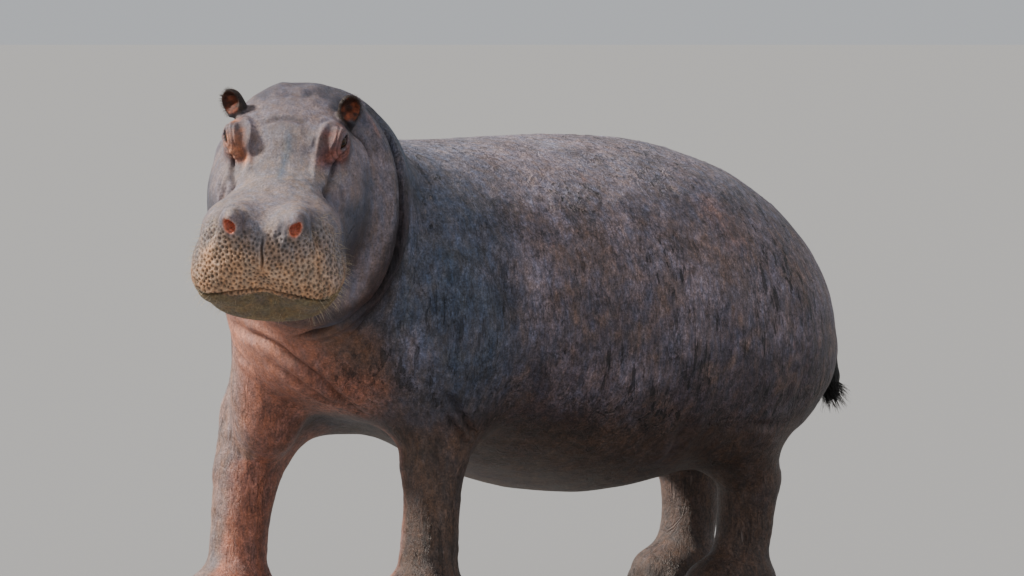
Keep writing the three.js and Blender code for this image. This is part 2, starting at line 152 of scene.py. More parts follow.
legForm = {  # centres and radii from the top down, then the middle of the foot
    "foreleg_left": dict(side=1, foot=(300, -652, 70), joints=(
        (270, -585, 860, 165), (302, -566, 640, 128), (300, -598, 490, 95), (298, -606, 370, 82),
        (298, -620, 130, 88))),
    "foreleg_right": dict(side=-1, foot=(288, -898, 70), joints=(
        (265, -600, 860, 165), (297, -748, 610, 134), (295, -818, 450, 101), (291, -846, 330, 86),
        (288, -866, 130, 88))),
    "hindleg_left": dict(side=1, foot=(302, 606, 68), joints=(
        (290, 580, 780, 190), (344, 570, 570, 130), (320, 672, 400, 98), (308, 664, 260, 84),
        (304, 638, 130, 88))),
    "hindleg_right": dict(side=-1, foot=(298, 944, 68), joints=(
        (270, 780, 800, 215), (318, 900, 600, 160), (314, 1020, 410, 106), (306, 1012, 270, 86),
        (302, 980, 130, 88))),
}
footForm = {
    "sole": (120, 150, 92), "toes": (-84, -30, 30, 84), "toe": (35, 56, 46),
    "ahead": 112, "splay": 0.5, "height": 46, "blend": 14,
}
tailForm = (
    (0, 1100, 985, 76), (42, 1200, 880, 52), (68, 1240, 770, 36), (78, 1252, 690, 27), (82, 1250, 640, 26),
)
limbBlend = {"leg": 90, "foot": 60, "tail": 40, "joint": 12}
earForm = {
    "at": (170, 128, 68), "shell": (33, 24, 41), "rim": 7, "within": 160, "stalkBlend": 14, "blend": 16,
    "hollow": ((0, -20, 5), (27, 28, 34)),
    "stalk": ((0, 8, -76, 22), (0, 3, -30, 27)),
    "turn": {1: (22, -10, 14), -1: (-22, -10, -36)},
}


# Every shape is a function from points to the distance from its surface, negative inside.
def roundness(power, *parts):
    total = sum(np.abs(p) ** power for p in parts)
    return np.maximum(total, 1e-12) ** (1 / power)


def placedIn(local, at, turn=(0, 0, 0)):
    return {"axes": local["axes"] @ turned(*turn), "origin": toWorld(local, np.array(at) * mm)}


def lump(local, at, size, turn=(0, 0, 0), power=2, **rest):
    own = placedIn(local, at, turn)
    half = np.array(size) * mm

    def distance(points):
        q = toLocal(own, points)
        away = roundness(power, *(q / half).T)
        return np.linalg.norm(q, axis=1) * (1 - 1 / away)

    return distance, own["origin"], 1.3 * half.max()


def hoop(local, at, size, thick, turn, **rest):
    own = placedIn(local, at, turn)
    wide, tall = np.array(size) * mm

    def distance(points):
        q = toLocal(own, points)
        across = np.hypot(q[:, 0], q[:, 2])
        out = across * (1 - 1 / np.maximum(np.hypot(q[:, 0] / wide, q[:, 2] / tall), 1e-6))
        return np.hypot(out, q[:, 1]) - thick * mm

    return distance, own["origin"], max(wide, tall) + 1.2 * thick * mm


def limb(local, joints):
    ends = toWorld(local, np.array([j[:3] for j in joints]) * mm)
    radii = np.array([j[3] for j in joints]) * mm

    def distance(points):
        nearest = np.full(len(points), 10.0)
        for a, b, ra, rb in zip(ends, ends[1:], radii, radii[1:]):
            t = np.clip((points - a) @ (b - a) / np.dot(b - a, b - a), 0, 1)
            away = np.linalg.norm(points - a - t[:, None] * (b - a), axis=1) - (ra + t * (rb - ra))
            nearest = smoothMin(nearest, away, limbBlend["joint"] * mm)
        return nearest

    middle = ends.mean(0)
    return distance, middle, np.linalg.norm(ends - middle, axis=1).max() + radii.max()


def curveThrough(places, values):
    places, values = np.array(places, float), np.array(values, float)
    number, last = np.arange(len(places)), len(places) - 1
    before, after = np.maximum(number - 1, 0), np.minimum(number + 1, last)
    slopes = (values[after] - values[before]) / (places[after] - places[before])

    def at(place):
        p = np.clip(place, places[0], places[-1])
        i = np.clip(np.searchsorted(places, p) - 1, 0, last - 1)
        span = places[i + 1] - places[i]
        t = (p - places[i]) / span
        return ((2 * t**3 - 3 * t**2 + 1) * values[i] + (t**3 - 2 * t**2 + t) * span * slopes[i]
                + (3 * t**2 - 2 * t**3) * values[i + 1] + (t**3 - t**2) * span * slopes[i + 1])

    return at


def loft(local, form):
    outlines = ("half", "back", "wide", "belly")
    half, back, wide, belly = (curveThrough(form["at"], form[outline]) for outline in outlines)

    def distance(points):
        x, y, z = (toLocal(local, points) / mm).T
        past = y - np.clip(y, form["front"][0], form["rear"][0])
        reach = np.where(past < 0, form["front"][1], form["rear"][1])
        middle = wide(y)
        tall = np.where(z > middle, back(y) - middle, middle - belly(y))
        across = roundness(form["power"], x / half(y), (z - middle) / tall)
        away = roundness(form["ends"], across, past / reach)
        return np.sqrt(x * x + (z - middle) ** 2 + past * past) * (1 - 1 / away) * mm

    return distance


def twins(item):
    x, y, z = item["at"]
    yaw, pitch, roll = item.get("turn", (0, 0, 0))
    mirrored = {**item, "at": (-x, y, z), "turn": (-yaw, pitch, -roll)}
    return [item, mirrored] if item.get("pair") else [item]


def toePlaces(leg):
    x, y, _ = leg["foot"]
    for across in footForm["toes"]:
        yield leg["side"] * x + across, y - footForm["ahead"] + abs(across) * footForm["splay"]


def foot(local, leg):
    x, y, z = leg["foot"]
    pad, middle, far = lump(local, (leg["side"] * x, y, z), footForm["sole"], power=2.4)
    toeSpots = [(tx, ty, footForm["height"]) for tx, ty in toePlaces(leg)]
    fingers = [lump(local, spot, footForm["toe"], power=2.2)[0] for spot in toeSpots]

    def distance(points):
        d = pad(points)
        for finger in fingers:
            d = smoothMin(d, finger(points), footForm["blend"] * mm)
        return d

    return distance, middle, far + limbBlend["foot"] * mm


def fleshShapes():
    shapes = []
    for item in bodyForm:
        shapes += [(lump(body, **one), item["reach"]) for one in twins(item)]
    for item in headForm:
        shapes += [(lump(head, **one), item["reach"]) for one in twins(item)]
    for item in neckRolls:
        shapes.append((hoop(body, **item), item["reach"]))
    for leg in legForm.values():
        joints = [(leg["side"] * x, y, z, r) for x, y, z, r in leg["joints"]]
        shapes += [(limb(body, joints), limbBlend["leg"]), (foot(body, leg), limbBlend["foot"])]
    shapes.append((limb(body, tailForm), limbBlend["tail"]))
    return [(distance, middle, far, reach * mm) for (distance, middle, far), reach in shapes]


# Places on the head are in millimetres of its own frame. side is 1 on the animal's left, -1 on its right.
eyeForm = {
    "at": (154, 6, 28), "within": 140,
    "outward": (0.86, -0.46, 0.22), "slant": 28,  # which way it looks, and how far the slit tips down ahead
    "slit": (27, 13), "squareness": 1.6, "pocket": 25.5, "pocketWall": 14, "slitEdge": 4,
    "lid": (36, 31, 23), "lidOut": 5, "lidBlend": 16,
}
nostrilForm = {
    "at": (92, -450, 16), "size": (16, 32, 22), "turn": (10, 30, 34), "within": 120,
    "rim": (26, 30, 32), "rimBack": 14, "rimBlend": 22, "edge": 7,
}


def mirrored(place, side):
    return (place[0] * side, *place[1:])


def eyeFrame(side):
    out = unit(np.array(mirrored(eyeForm["outward"], side)))
    along = unit(np.cross((0, 0, 1), out) * side)  # towards the outer corner
    up = np.cross(out, along) * side
    tip = math.radians(eyeForm["slant"])
    long = along * math.cos(tip) + up * math.sin(tip)
    axes = np.stack([long, unit(np.cross(out, long)) * side, out], axis=1)
    middle = toWorld(head, np.array(mirrored(eyeForm["at"], side)) * mm)
    return {"axes": head["axes"] @ axes, "origin": middle}


def earFrame(side):
    return placedIn(head, mirrored(earForm["at"], side), earForm["turn"][side])


def nostrilFrame(side):
    yaw, pitch, roll = nostrilForm["turn"]
    return placedIn(head, mirrored(nostrilForm["at"], side), (yaw * side, pitch, roll * side))


def closeTo(local, points, form):
    return np.flatnonzero(np.linalg.norm(points - local["origin"], axis=1) < form["within"] * mm)


# Lids: a low mound round each eye, then the pocket that the eyeball shows in.
def addLids(d, points):
    for side in (1, -1):
        own = eyeFrame(side)
        near = closeTo(own, points, eyeForm)
        if not len(near):
            continue
        q = toLocal(own, points[near]) / mm
        fromMiddle = np.linalg.norm(q, axis=1)
        lid = np.linalg.norm(q / eyeForm["lid"], axis=1)
        mound = fromMiddle * (1 - 1 / np.maximum(lid, 1e-6)) - eyeForm["lidOut"] * bump(lid - 1, 1)
        d[near] = smoothMin(d[near], mound * mm, eyeForm["lidBlend"] * mm)
        halfLong, halfTall = eyeForm["slit"]
        opening = (roundness(eyeForm["squareness"], q[:, 0] / halfLong, q[:, 1] / halfTall) - 1) * halfTall
        behind = eyeForm["pocket"] - eyeForm["pocketWall"] - fromMiddle
        inside = np.maximum(np.maximum(opening, behind), -q[:, 2])
        d[near] = -smoothMin(-d[near], inside * mm, eyeForm["slitEdge"] * mm)
    return d


def addEars(d, points):
    for side in (1, -1):
        own = earFrame(side)
        near = closeTo(own, points, earForm)
        if not len(near):
            continue
        p = points[near]
        shell = lump(own, (0, 0, 0), earForm["shell"], power=2.2)[0](p)
        hollow = lump(own, *earForm["hollow"])[0](p)
        stalk = limb(own, earForm["stalk"])[0](p)
        cup = -smoothMin(-shell, hollow, earForm["rim"] * mm)
        ear = smoothMin(cup, stalk, earForm["stalkBlend"] * mm)
        d[near] = smoothMin(d[near], ear, earForm["blend"] * mm)
    return d


def addNostrils(d, points):
    for side in (1, -1):
        own = nostrilFrame(side)
        near = closeTo(own, points, nostrilForm)
        if not len(near):
            continue
        p = points[near]
        rim = lump(own, (0, nostrilForm["rimBack"], 0), nostrilForm["rim"])[0](p)
        hole = lump(own, (0, 0, 0), nostrilForm["size"])[0](p)
        d[near] = smoothMin(d[near], rim, nostrilForm["rimBlend"] * mm)
        d[near] = -smoothMin(-d[near], hole, nostrilForm["edge"] * mm)
    return d


skinMesh = {  # steps and margins in millimetres; fine is the space round the head
    "headStep": 4.2, "bodyStep": 8.5, "growth": 0.06, "margin": 40, "soleEdge": 5,
    "fine": ((-30, 650), (-1520, -930), (1010, 1640)),
}
flesh = fleshShapes()
trunkDistance = loft(body, trunkForm)


def skinDistance(points):
    d = trunkDistance(points)
    for distance, middle, far, reach in flesh:
        near = np.flatnonzero(np.linalg.norm(points - middle, axis=1) - far < d + reach)
        if len(near):
            d[near] = smoothMin(d[near], distance(points[near]), reach)
    d = addNostrils(addEars(addLids(d, points), points), points)
    return -smoothMin(-d, points[:, 2], skinMesh["soleEdge"] * mm)  # the soles are flat on the floor


# Grid lines stand close round the head and wider away from it.
def gridLines(low, high, fine):
    places = [low]
    while places[-1] < high:
        outside = max(fine[0] - places[-1], places[-1] - fine[1], 0)
        step = skinMesh["headStep"] + skinMesh["growth"] * outside
        if places[-1] < fine[0]:
            step = skinMesh["headStep"] + skinMesh["growth"] * max(outside - step, 0)
        places.append(places[-1] + min(step, skinMesh["bodyStep"]))
    return np.array(places) * mm


def settle(points, times=2, step=0.4 * mm, most=4 * mm):
    for _ in range(times):
        d = skinDistance(points)
        slope = np.stack([skinDistance(points + step * axis) - d for axis in np.eye(3)], axis=1) / step
        move = d[:, None] * slope / np.maximum((slope**2).sum(1, keepdims=True), 0.3)
        length = np.linalg.norm(move, axis=1, keepdims=True)
        points = points - move * np.minimum(1, most / np.maximum(length, 1e-9))
    return points


def sampleField(lines, block=6):
    counts = [len(line) for line in lines]
    centres = [line[block // 2 :: block] for line in lines]
    spots = np.stack(np.meshgrid(*centres, indexing="ij"), -1)
    reach = np.stack(np.meshgrid(*[np.gradient(c) for c in centres], indexing="ij"), -1)
    shape = spots.shape[:3]
    d = skinDistance(spots.reshape(-1, 3)).reshape(shape)
    close = np.abs(d) < 1.15 * np.linalg.norm(reach, axis=-1)
    index = [np.minimum(np.arange(n) // block, m - 1) for n, m in zip(counts, shape)]
    values = np.where(d < 0, -1.0, 1.0)[np.ix_(*index)].astype(np.float32)
    wanted = close[np.ix_(*index)]
    for axis in range(3):  # block faces are shared with the next block
        wanted[tuple(slice(1, None) if n == axis else slice(None) for n in range(3))] |= wanted[
            tuple(slice(None, -1) if n == axis else slice(None) for n in range(3))]
    i, j, k = np.nonzero(wanted)
    points = np.stack([lines[0][i], lines[1][j], lines[2][k]], axis=1)
    parts = [skinDistance(part) for part in np.array_split(points, max(len(points) // 200000, 1))]
    values[i, j, k] = np.concatenate(parts)
    return values


def netFromField(lines, values):
    inside = values < 0
    count = np.zeros(tuple(n - 1 for n in values.shape), np.int8)
    corners = [(a, b, c) for a in (0, 1) for b in (0, 1) for c in (0, 1)]
    for a, b, c in corners:
        count += inside[a : a + count.shape[0], b : b + count.shape[1], c : c + count.shape[2]]
    cells = np.stack(np.nonzero((count > 0) & (count < 8)), axis=1)
    total, crossings = np.zeros((len(cells), 3)), np.zeros(len(cells))
    for a in corners:
        for b in corners:
            if sum(b) - sum(a) != 1 or any(y < x for x, y in zip(a, b)):
                continue
            va, vb = (values[tuple((cells + np.array(c)).T)] for c in (a, b))
            cut = (va < 0) != (vb < 0)
            t = va[cut] / (va[cut] - vb[cut])
            total[cut] += np.array(a) + t[:, None] * (np.array(b) - np.array(a))
            crossings[cut] += 1
    place = cells + total / crossings[:, None]
    points = np.stack([np.interp(place[:, n], np.arange(len(lines[n])), lines[n]) for n in range(3)], axis=1)
    number = np.full(count.shape, -1, np.int32)
    number[tuple(cells.T)] = np.arange(len(cells))
    quads = []
    for axis in range(3):
        spots = np.stack(np.nonzero(np.diff(inside, axis=axis)), axis=1)
        u, v = np.eye(3, dtype=int)[(axis + 1) % 3], np.eye(3, dtype=int)[(axis + 2) % 3]
        ring = np.stack([number[tuple((spots - s).T)] for s in (0 * u, u, u + v, v)], axis=1)
        out = inside[tuple(spots.T)]
        ring[~out] = ring[~out][:, ::-1]
        quads.append(ring)
    return points, np.concatenate(quads)


def meshSkin():
    low, high = (np.array(corner) / mm for corner in cadBounds)
    fine = body["origin"] / mm + np.array(skinMesh["fine"]).T
    margin = skinMesh["margin"]
    lines = [gridLines(low[n] - margin, high[n] + margin, (fine[0][n], fine[1][n])) for n in range(3)]
    report(f"grid {[len(line) for line in lines]}")
    values = sampleField(lines)
    report("field sampled")
    points, quads = netFromField(lines, values)
    report(f"net of {len(quads)} quads")
    return settle(points), quads


def meshPiece(name, points, faces, smooth=True):
    mesh = bpy.data.meshes.new(name)
    if isinstance(faces, np.ndarray):
        mesh.vertices.add(len(points))
        mesh.vertices.foreach_set("co", points.astype(np.float32).ravel())
        mesh.loops.add(faces.size)
        mesh.loops.foreach_set("vertex_index", faces.astype(np.int32).ravel())
        mesh.polygons.add(len(faces))
        mesh.polygons.foreach_set("loop_start", np.arange(0, faces.size, faces.shape[1], dtype=np.int32))
        mesh.update(calc_edges=True)
    else:
        mesh.from_pydata([tuple(p) for p in points], [], faces)
    mesh.validate()
    mesh.polygons.foreach_set("use_smooth", np.full(len(mesh.polygons), smooth))
    piece = bpy.data.objects.new(name, mesh)
    bpy.context.scene.collection.objects.link(piece)
    return piece


def readFrom(items, field, kind, width=1):
    values = np.empty(len(items) * width, kind)
    items.foreach_get(field, values)
    return values


def pointsOf(mesh):
    return readFrom(mesh.vertices, "co", np.float32, 3).reshape(-1, 3).astype(float)


def normalsOf(mesh):
    return readFrom(mesh.vertex_normals, "vector", np.float32, 3).reshape(-1, 3).astype(float)


def movePoints(mesh, points):
    mesh.vertices.foreach_set("co", points.astype(np.float32).ravel())
    mesh.update()


# Faces twice as fine where the head has small parts: round the eyes, ears, nostrils and lips.
finerFaces = {  # millimetres on the head
    "bands": ((340, -225, 30), (60, -232, -184)),  # ahead of this, between these heights: muzzle and lips
    "rounds": ((eyeForm["at"], 84), (nostrilForm["at"], 50), (earForm["at"], 72)),  # place, reach
}


def refine(piece):
    points = pointsOf(piece.data)
    q = toLocal(head, points) / mm
    chosen = np.zeros(len(q), bool)
    for ahead, low, high in finerFaces["bands"]:
        chosen |= (q[:, 1] < -ahead) & (q[:, 2] > low) & (q[:, 2] < high)
    for side in (1, -1):
        for place, reach in finerFaces["rounds"]:
            chosen |= np.linalg.norm(q - mirrored(place, side), axis=1) < reach
    grid = bmesh.new()
    grid.from_mesh(piece.data)
    grid.verts.ensure_lookup_table()
    edges = [e for e in grid.edges if chosen[e.verts[0].index] and chosen[e.verts[1].index]]
    bmesh.ops.subdivide_edges(grid, edges=edges, cuts=1, use_grid_fill=True)
    grid.to_mesh(piece.data)
    grid.free()
    fresh = pointsOf(piece.data)
    near = np.arange(len(points), len(fresh))
    fresh[near] = settle(fresh[near])
    movePoints(piece.data, fresh)


def makeSkin():
    piece = meshPiece("skin", *meshSkin())
    report("skin settled")
    refine(piece)
    report(f"skin refined to {len(piece.data.polygons)} faces")
    return piece


skin = makeSkin()
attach(skin, "root")
fleshNodes = [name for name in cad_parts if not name.startswith("eye_") and "_nail_" not in name]
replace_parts(skin, *fleshNodes)


# Smooth random bumps between -1 and 1, of the given size along each axis.
def noise(points, size, seed=0):
    place = points / (np.array(size) * mm) + 37.7 * seed + 200
    cell = np.floor(place).astype(np.int64)
    t = place - cell
    t = t * t * (3 - 2 * t)
    total = np.zeros(len(points))
    for corner in np.ndindex(2, 2, 2):
        n = ((cell + corner) * (73856093, 19349663, 83492791)).sum(1)
        n = ((n ^ (n >> 13)) * 1274126177) & 0xFFFFFFFF
        n = ((n ^ (n >> 16)) * 2246822519) & 0xFFFFFFFF
        total += (n / 2**31 - 1) * np.where(corner, t, 1 - t).prod(1)
    return total


def roughNoise(points, size, seed=0, layers=3):
    return sum(noise(points, np.array(size) / 2**n, seed + n) / 2**n for n in range(layers))


ropeCourse = (  # the roll of skin behind the jowl, from below the ear to the throat
    (426, -845, 1420), (453, -856, 1341), (465, -861, 1274), (472, -867, 1198), (469, -875, 1137),
    (461, -885, 1087), (449, -905, 1044), (428, -930, 994), (398, -960, 947), (358, -987, 909),
    (311, -1012, 882), (220, -1040, 862),
)
# A fold line runs through a few places, in millimetres. Its width, depth, swell and over are too: swell
# raises both its sides, and over only the side on its left, as seen from outside on the way along.
# dark, where a fold has it, is how much painted shade colours its crease; a sunk fold without it gets more
# the deeper and narrower it is.
folds = [
    dict(name="lips", on="head", width=5.5, depth=11, over=5, fade=0.02, through=(
        (-172, -70, -190), (-196, -200, -212), (-206, -330, -224), (-186, -440, -222), (-130, -492, -204),
        (-72, -494, -189), (0, -476, -186), (72, -494, -189), (130, -492, -204), (186, -440, -222),
        (206, -330, -224), (196, -200, -212), (172, -70, -190))),
    dict(name="philtrum", on="head", width=3.6, depth=10, swell=3, fade=0.3, dark=1, through=(
        (0, -452, -10), (2, -472, -26), (0, -488, -48), (4, -499, -78), (1, -503, -120))),
    dict(name="lipCleft", on="head", width=14, depth=5, fade=0.3, through=(
        (0, -496, -90), (0, -500, -130), (0, -486, -172))),
    dict(name="nostrilGroove", on="head", pair=True, width=11, depth=8, fade=0.35, through=(
        (56, -400, 14), (56, -436, 10), (48, -458, -2), (50, -482, -30))),
    dict(name="lipHollow", on="head", pair=True, width=19, depth=10, swell=3, fade=0.3, through=(
        (104, -340, 4), (130, -392, 0), (150, -415, -25), (168, -420, -62), (182, -425, -100))),
    dict(name="lipHollowLow", on="head", pair=True, width=26, depth=5, fade=0.35, through=(
        (190, -380, -60), (205, -340, -110), (208, -300, -160))),
    dict(name="socket", on="head", pair=True, width=7, depth=8, swell=3, fade=0.12, through=(
        (190, 26, 10), (192, -22, 6), (176, -56, 0), (158, -72, -26), (144, -88, -42), (136, -122, -54),
        (134, -160, -60))),
    dict(name="muzzleCrease", on="head", pair=True, width=9, depth=12, swell=3, over=3, fade=0.2, through=(
        (128, -112, -40), (134, -152, -60), (150, -178, -96), (170, -190, -140), (184, -190, -180))),
    dict(name="cheekFold", on="head", pair=True, width=12, depth=-11, fade=0.3, through=(
        (156, -84, -36), (162, -98, -60), (168, -122, -88), (176, -140, -126))),
    dict(name="cheekFoldBack", on="head", pair=True, width=9, depth=5, fade=0.3, through=(
        (184, -84, -40), (186, -100, -70), (190, -116, -110))),
    dict(name="facialRidge", on="head", pair=True, width=11, depth=-7, fade=0.25, through=(
        (128, 74, 62), (116, 30, 58), (106, -14, 42), (97, -56, 10), (98, -106, -16), (102, -150, -30))),
    dict(name="socketHollow", on="head", pair=True, width=17, depth=9, fade=0.3, through=(
        (146, 34, 66), (134, -6, 52), (126, -44, 18), (118, -86, -12))),
    dict(name="underEye", on="head", pair=True, width=7, depth=-5, fade=0.3, through=(
        (174, -38, 12), (156, -56, 4), (138, -70, -14), (122, -96, -24))),
    dict(name="underEyeLow", on="head", pair=True, width=5, depth=4.5, fade=0.3, through=(
        (184, -42, -2), (164, -62, -12), (146, -78, -30), (128, -108, -38))),
    dict(name="underEyeInner", on="head", pair=True, width=5, depth=4, fade=0.3, through=(
        (150, -38, 24), (136, -54, 10), (120, -78, -6))),
    dict(name="browWrinkle", on="head", pair=True, width=7, depth=3, swell=1, fade=0.4, through=(
        (98, 6, 50), (90, -18, 34), (92, -40, 16))),
    dict(name="browWrinkleHigh", on="head", pair=True, width=8, depth=3, swell=1, fade=0.4, through=(
        (136, 74, 70), (112, 60, 72), (88, 34, 64))),
    dict(name="foreheadCrease", on="head", width=9, depth=5.5, swell=2, fade=0.25, through=(
        (-76, 26, 62), (-40, 33, 70), (0, 42, 74), (40, 36, 72), (78, 28, 62))),
    dict(name="crownCrease", on="head", width=16, depth=6, swell=3, fade=0.3, through=(
        (-46, 150, 80), (-8, 168, 84), (30, 166, 82), (70, 196, 72))),
    dict(name="crownHumps", on="head", pair=True, width=34, depth=-8, fade=0.4, through=(
        (38, 190, 70), (52, 250, 50), (56, 300, 20))),
    dict(name="earCrease", on="head", pair=True, width=8, depth=10, swell=3, fade=0.2, through=(
        (150, 84, 44), (166, 98, 30), (186, 132, -18), (206, 140, -52), (220, 126, -76), (230, 98, -100))),
    dict(name="cheekArch", on="head", pair=True, width=22, depth=-8, fade=0.4, through=(
        (190, 40, -4), (204, 84, -34), (216, 96, -72), (224, 70, -116))),
    dict(name="jowlEdge", on="body", width=7, depth=15, swell=2, fade=0.05, dark=1, through=(
        (385, -890, 1490), (421, -871, 1429), (436, -871, 1391), (451, -872, 1341), (465, -880, 1273),
        (467, -880, 1204), (466, -887, 1149), (460, -899, 1093), (446, -919, 1038), (429, -948, 991),
        (404, -985, 951), (357, -1017, 915), (296, -1038, 891), (200, -1060, 872))),
    dict(name="rope", on="body", width=11, depth=-8, fade=0.06, through=ropeCourse),
    dict(name="ropeBack", on="body", width=9, depth=10, fade=0.08, dark=0.8, through=(
        (420, -790, 1380), (446, -800, 1339), (462, -815, 1275), (462, -826, 1191), (456, -838, 1127),
        (448, -850, 1074), (437, -870, 1031), (420, -897, 984), (391, -921, 934), (354, -941, 890),
        (320, -959, 863))),
    dict(name="chestFold", on="body", width=16, depth=10, swell=6, over=4, fade=0.25, through=(
        (-141, -1026, 917), (0, -1046, 880), (118, -1040, 836), (190, -971, 757), (203, -884, 693),
        (199, -745, 606))),
    dict(name="chestFoldLow", on="body", width=14, depth=7, swell=4, fade=0.3, through=(
        (40, -1056, 800), (110, -1010, 750), (164, -900, 690), (180, -790, 640))),
    dict(name="chestFoldRight", on="body", width=14, depth=7, swell=4, fade=0.3, through=(
        (-230, -960, 860), (-140, -1020, 800), (-60, -1030, 740), (-20, -990, 660))),
    dict(name="elbow", on="body", width=10, depth=9, swell=4, fade=0.2, dark=0.35, through=(
        (442, -687, 712), (436, -640, 668), (426, -590, 620), (402, -530, 570))),
    dict(name="elbowLow", on="body", width=9, depth=6, swell=3, fade=0.25, dark=0.3, through=(
        (440, -690, 650), (430, -640, 610), (414, -580, 560), (394, -530, 520))),
    dict(name="elbowRight", on="body", width=12, depth=9, swell=4, fade=0.2, through=(
        (-440, -720, 730), (-440, -660, 670), (-424, -590, 620), (-400, -530, 570))),
    dict(name="flankFold", on="body", pair=True, width=26, depth=9, swell=5, fade=0.4, dark=0.15, through=(
        (585, 175, 660), (545, 196, 590), (470, 220, 500), (379, 270, 450))),
    dict(name="rumpFold", on="body", pair=True, width=26, depth=9, swell=5, fade=0.35, dark=0.2, through=(
        (420, 960, 900), (360, 1060, 800), (280, 1100, 680), (240, 1080, 560))),
    dict(name="stifleFold", on="body", pair=True, width=16, depth=6, swell=3, fade=0.4, dark=0.15, through=(
        (440, 470, 640), (470, 560, 600), (470, 660, 590))),
    dict(name="shoulderLine", on="body", width=40, depth=9, swell=5, fade=0.4, dark=0.15, through=(
        (470, -690, 1240), (545, -560, 1120), (575, -500, 960), (560, -480, 800))),
    dict(name="tailBase", on="body", pair=True, width=12, depth=8, fade=0.3, through=(
        (60, 1150, 1060), (76, 1175, 980), (70, 1190, 900))),
]


def foldCourse(local, places):
    places = np.array(places, float)
    spans = np.maximum(np.linalg.norm(np.diff(places, axis=0), axis=1), 1)
    along = np.concatenate([[0], np.cumsum(spans)])
    steps = np.linspace(0, along[-1], max(int(along[-1] / 9), 6))
    course = np.stack([curveThrough(along, places[:, n])(steps) for n in range(3)], axis=1)
    return settle(toWorld(local, course * mm), times=4, most=25 * mm)


# For the points near a line: how far along it they are, from 0 to 1, and how far to its left in millimetres.
def besideLine(course, points, normals, reach):
    low, high = course.min(0) - reach * mm, course.max(0) + reach * mm
    near = np.flatnonzero(((points > low) & (points < high)).all(1))
    p = points[near]
    nearest = np.full(len(near), 1e9)
    along, beside = np.zeros(len(near)), np.zeros(len(near))
    for n, (a, b) in enumerate(zip(course, course[1:])):
        way = b - a
        t = np.clip((p - a) @ way / (way @ way), 0, 1)
        away = p - a - t[:, None] * way
        length = np.linalg.norm(away, axis=1)
        closer = np.flatnonzero(length < nearest)
        nearest[closer] = length[closer]
        along[closer] = (n + t[closer]) / (len(course) - 1)
        left = np.cross(normals[near[closer]], unit(way[None]))
        beside[closer] = np.sign((away[closer] * left).sum(1)) * length[closer]
    keep = nearest < reach * mm
    return near[keep], along[keep], beside[keep] / mm


def pressFold(fold, side, points, normals, lift, crease):
    local = {"head": head, "body": body}[fold["on"]]
    course = foldCourse(local, [(x * side, y, z) for x, y, z in fold["through"]])
    near, along, beside = besideLine(course, points, normals, 4 * fold["width"])
    beside = beside * side + 0.5 * fold["width"] * noise(points[near], (45, 45, 45), 3)
    taper = ramp(along, 0, fold["fade"]) * ramp(1 - along, 0, fold["fade"])
    s = beside / fold["width"]
    pressed = -fold["depth"] * bump(s, 1) + fold.get("swell", 0) * bump(np.abs(s) - 2, 1)
    pressed += fold.get("over", 0) * ramp(s, 0, 0.8) * bump(np.maximum(s, 0), 2.4)
    lift[near] += pressed * taper
    # painted shade: a sunk fold's crease is marked for darker colour
    if fold["depth"] > 0:
        dark = fold.get("dark", min(fold["depth"] / (9 + 0.5 * fold["width"]), 0.9))
        crease[near] = np.maximum(crease[near], bump(s, 0.9) * taper * dark)


# Where the larger regions lie, each from 0 to 1.
def regions(points, normals):
    q, b = toLocal(head, points) / mm, toLocal(body, points) / mm
    headNormal = normals @ head["axes"]
    onHead = ramp(-b[:, 1], 820, 940) * ramp(b[:, 2], 880, 1000)
    muzzle = ramp(-q[:, 1], 290, 400) * ramp(-q[:, 2], -20, 30) * ramp(q[:, 2], -214, -200)
    flank = ramp(np.abs(normals[:, 0]), 0.35, 0.8) * ramp(b[:, 1], -760, -520) * ramp(b[:, 2], 420, 620)
    return {
        "head": q, "body": b, "headNormal": headNormal, "onHead": onHead, "flank": flank,
        "muzzle": muzzle * (q[:, 2] < 40),
        "leg": ramp(-b[:, 2], -640, -520),
        "chin": ramp(-q[:, 1], 180, 300) * ramp(-q[:, 2], 196, 214) * ramp(q[:, 2], -460, -400),
        "back": ramp(normals[:, 2], 0.45, 0.9) * ramp(b[:, 1], -820, -640) * ramp(b[:, 2], 900, 1100),
    }


reliefForm = {  # depth in millimetres, size of the pattern
    "swells": (3.2, (170, 170, 170)), "softness": (1.1, (70, 70, 70)), "drapes": (2.0, (60, 34, 260)),
    "legRings": (1.2, (110, 110, 24)), "fine": (0.7, (26, 26, 26)), "backBumps": (1.8, (22, 22, 22)),
    "pitGap": 11.5, "pitRadius": 4.6, "pitDepth": 4.4, "lidRings": (1.1, 0.5), "chinBack": 5,
}


def scatter(points, weight, gap):
    taken, chosen = {}, []
    for n in rng.permutation(np.flatnonzero(rng.random(len(points)) < weight)):
        cell = tuple(np.floor(points[n] / gap).astype(int))
        close = [m for dx, dy, dz in np.ndindex(3, 3, 3)
                 for m in taken.get((cell[0] + dx - 1, cell[1] + dy - 1, cell[2] + dz - 1), ())]
        if close and np.linalg.norm(points[close] - points[n], axis=1).min() < gap:
            continue
        taken.setdefault(cell, []).append(n)
        chosen.append(n)
    return np.array(chosen)


def nearestOf(points, spots):
    tree = KDTree(len(spots))
    for n, spot in enumerate(spots):
        tree.insert(spot, n)
    tree.balance()
    found = [tree.find(p)[1:] for p in points]
    return np.array([n for n, away in found]), np.array([away for n, away in found])


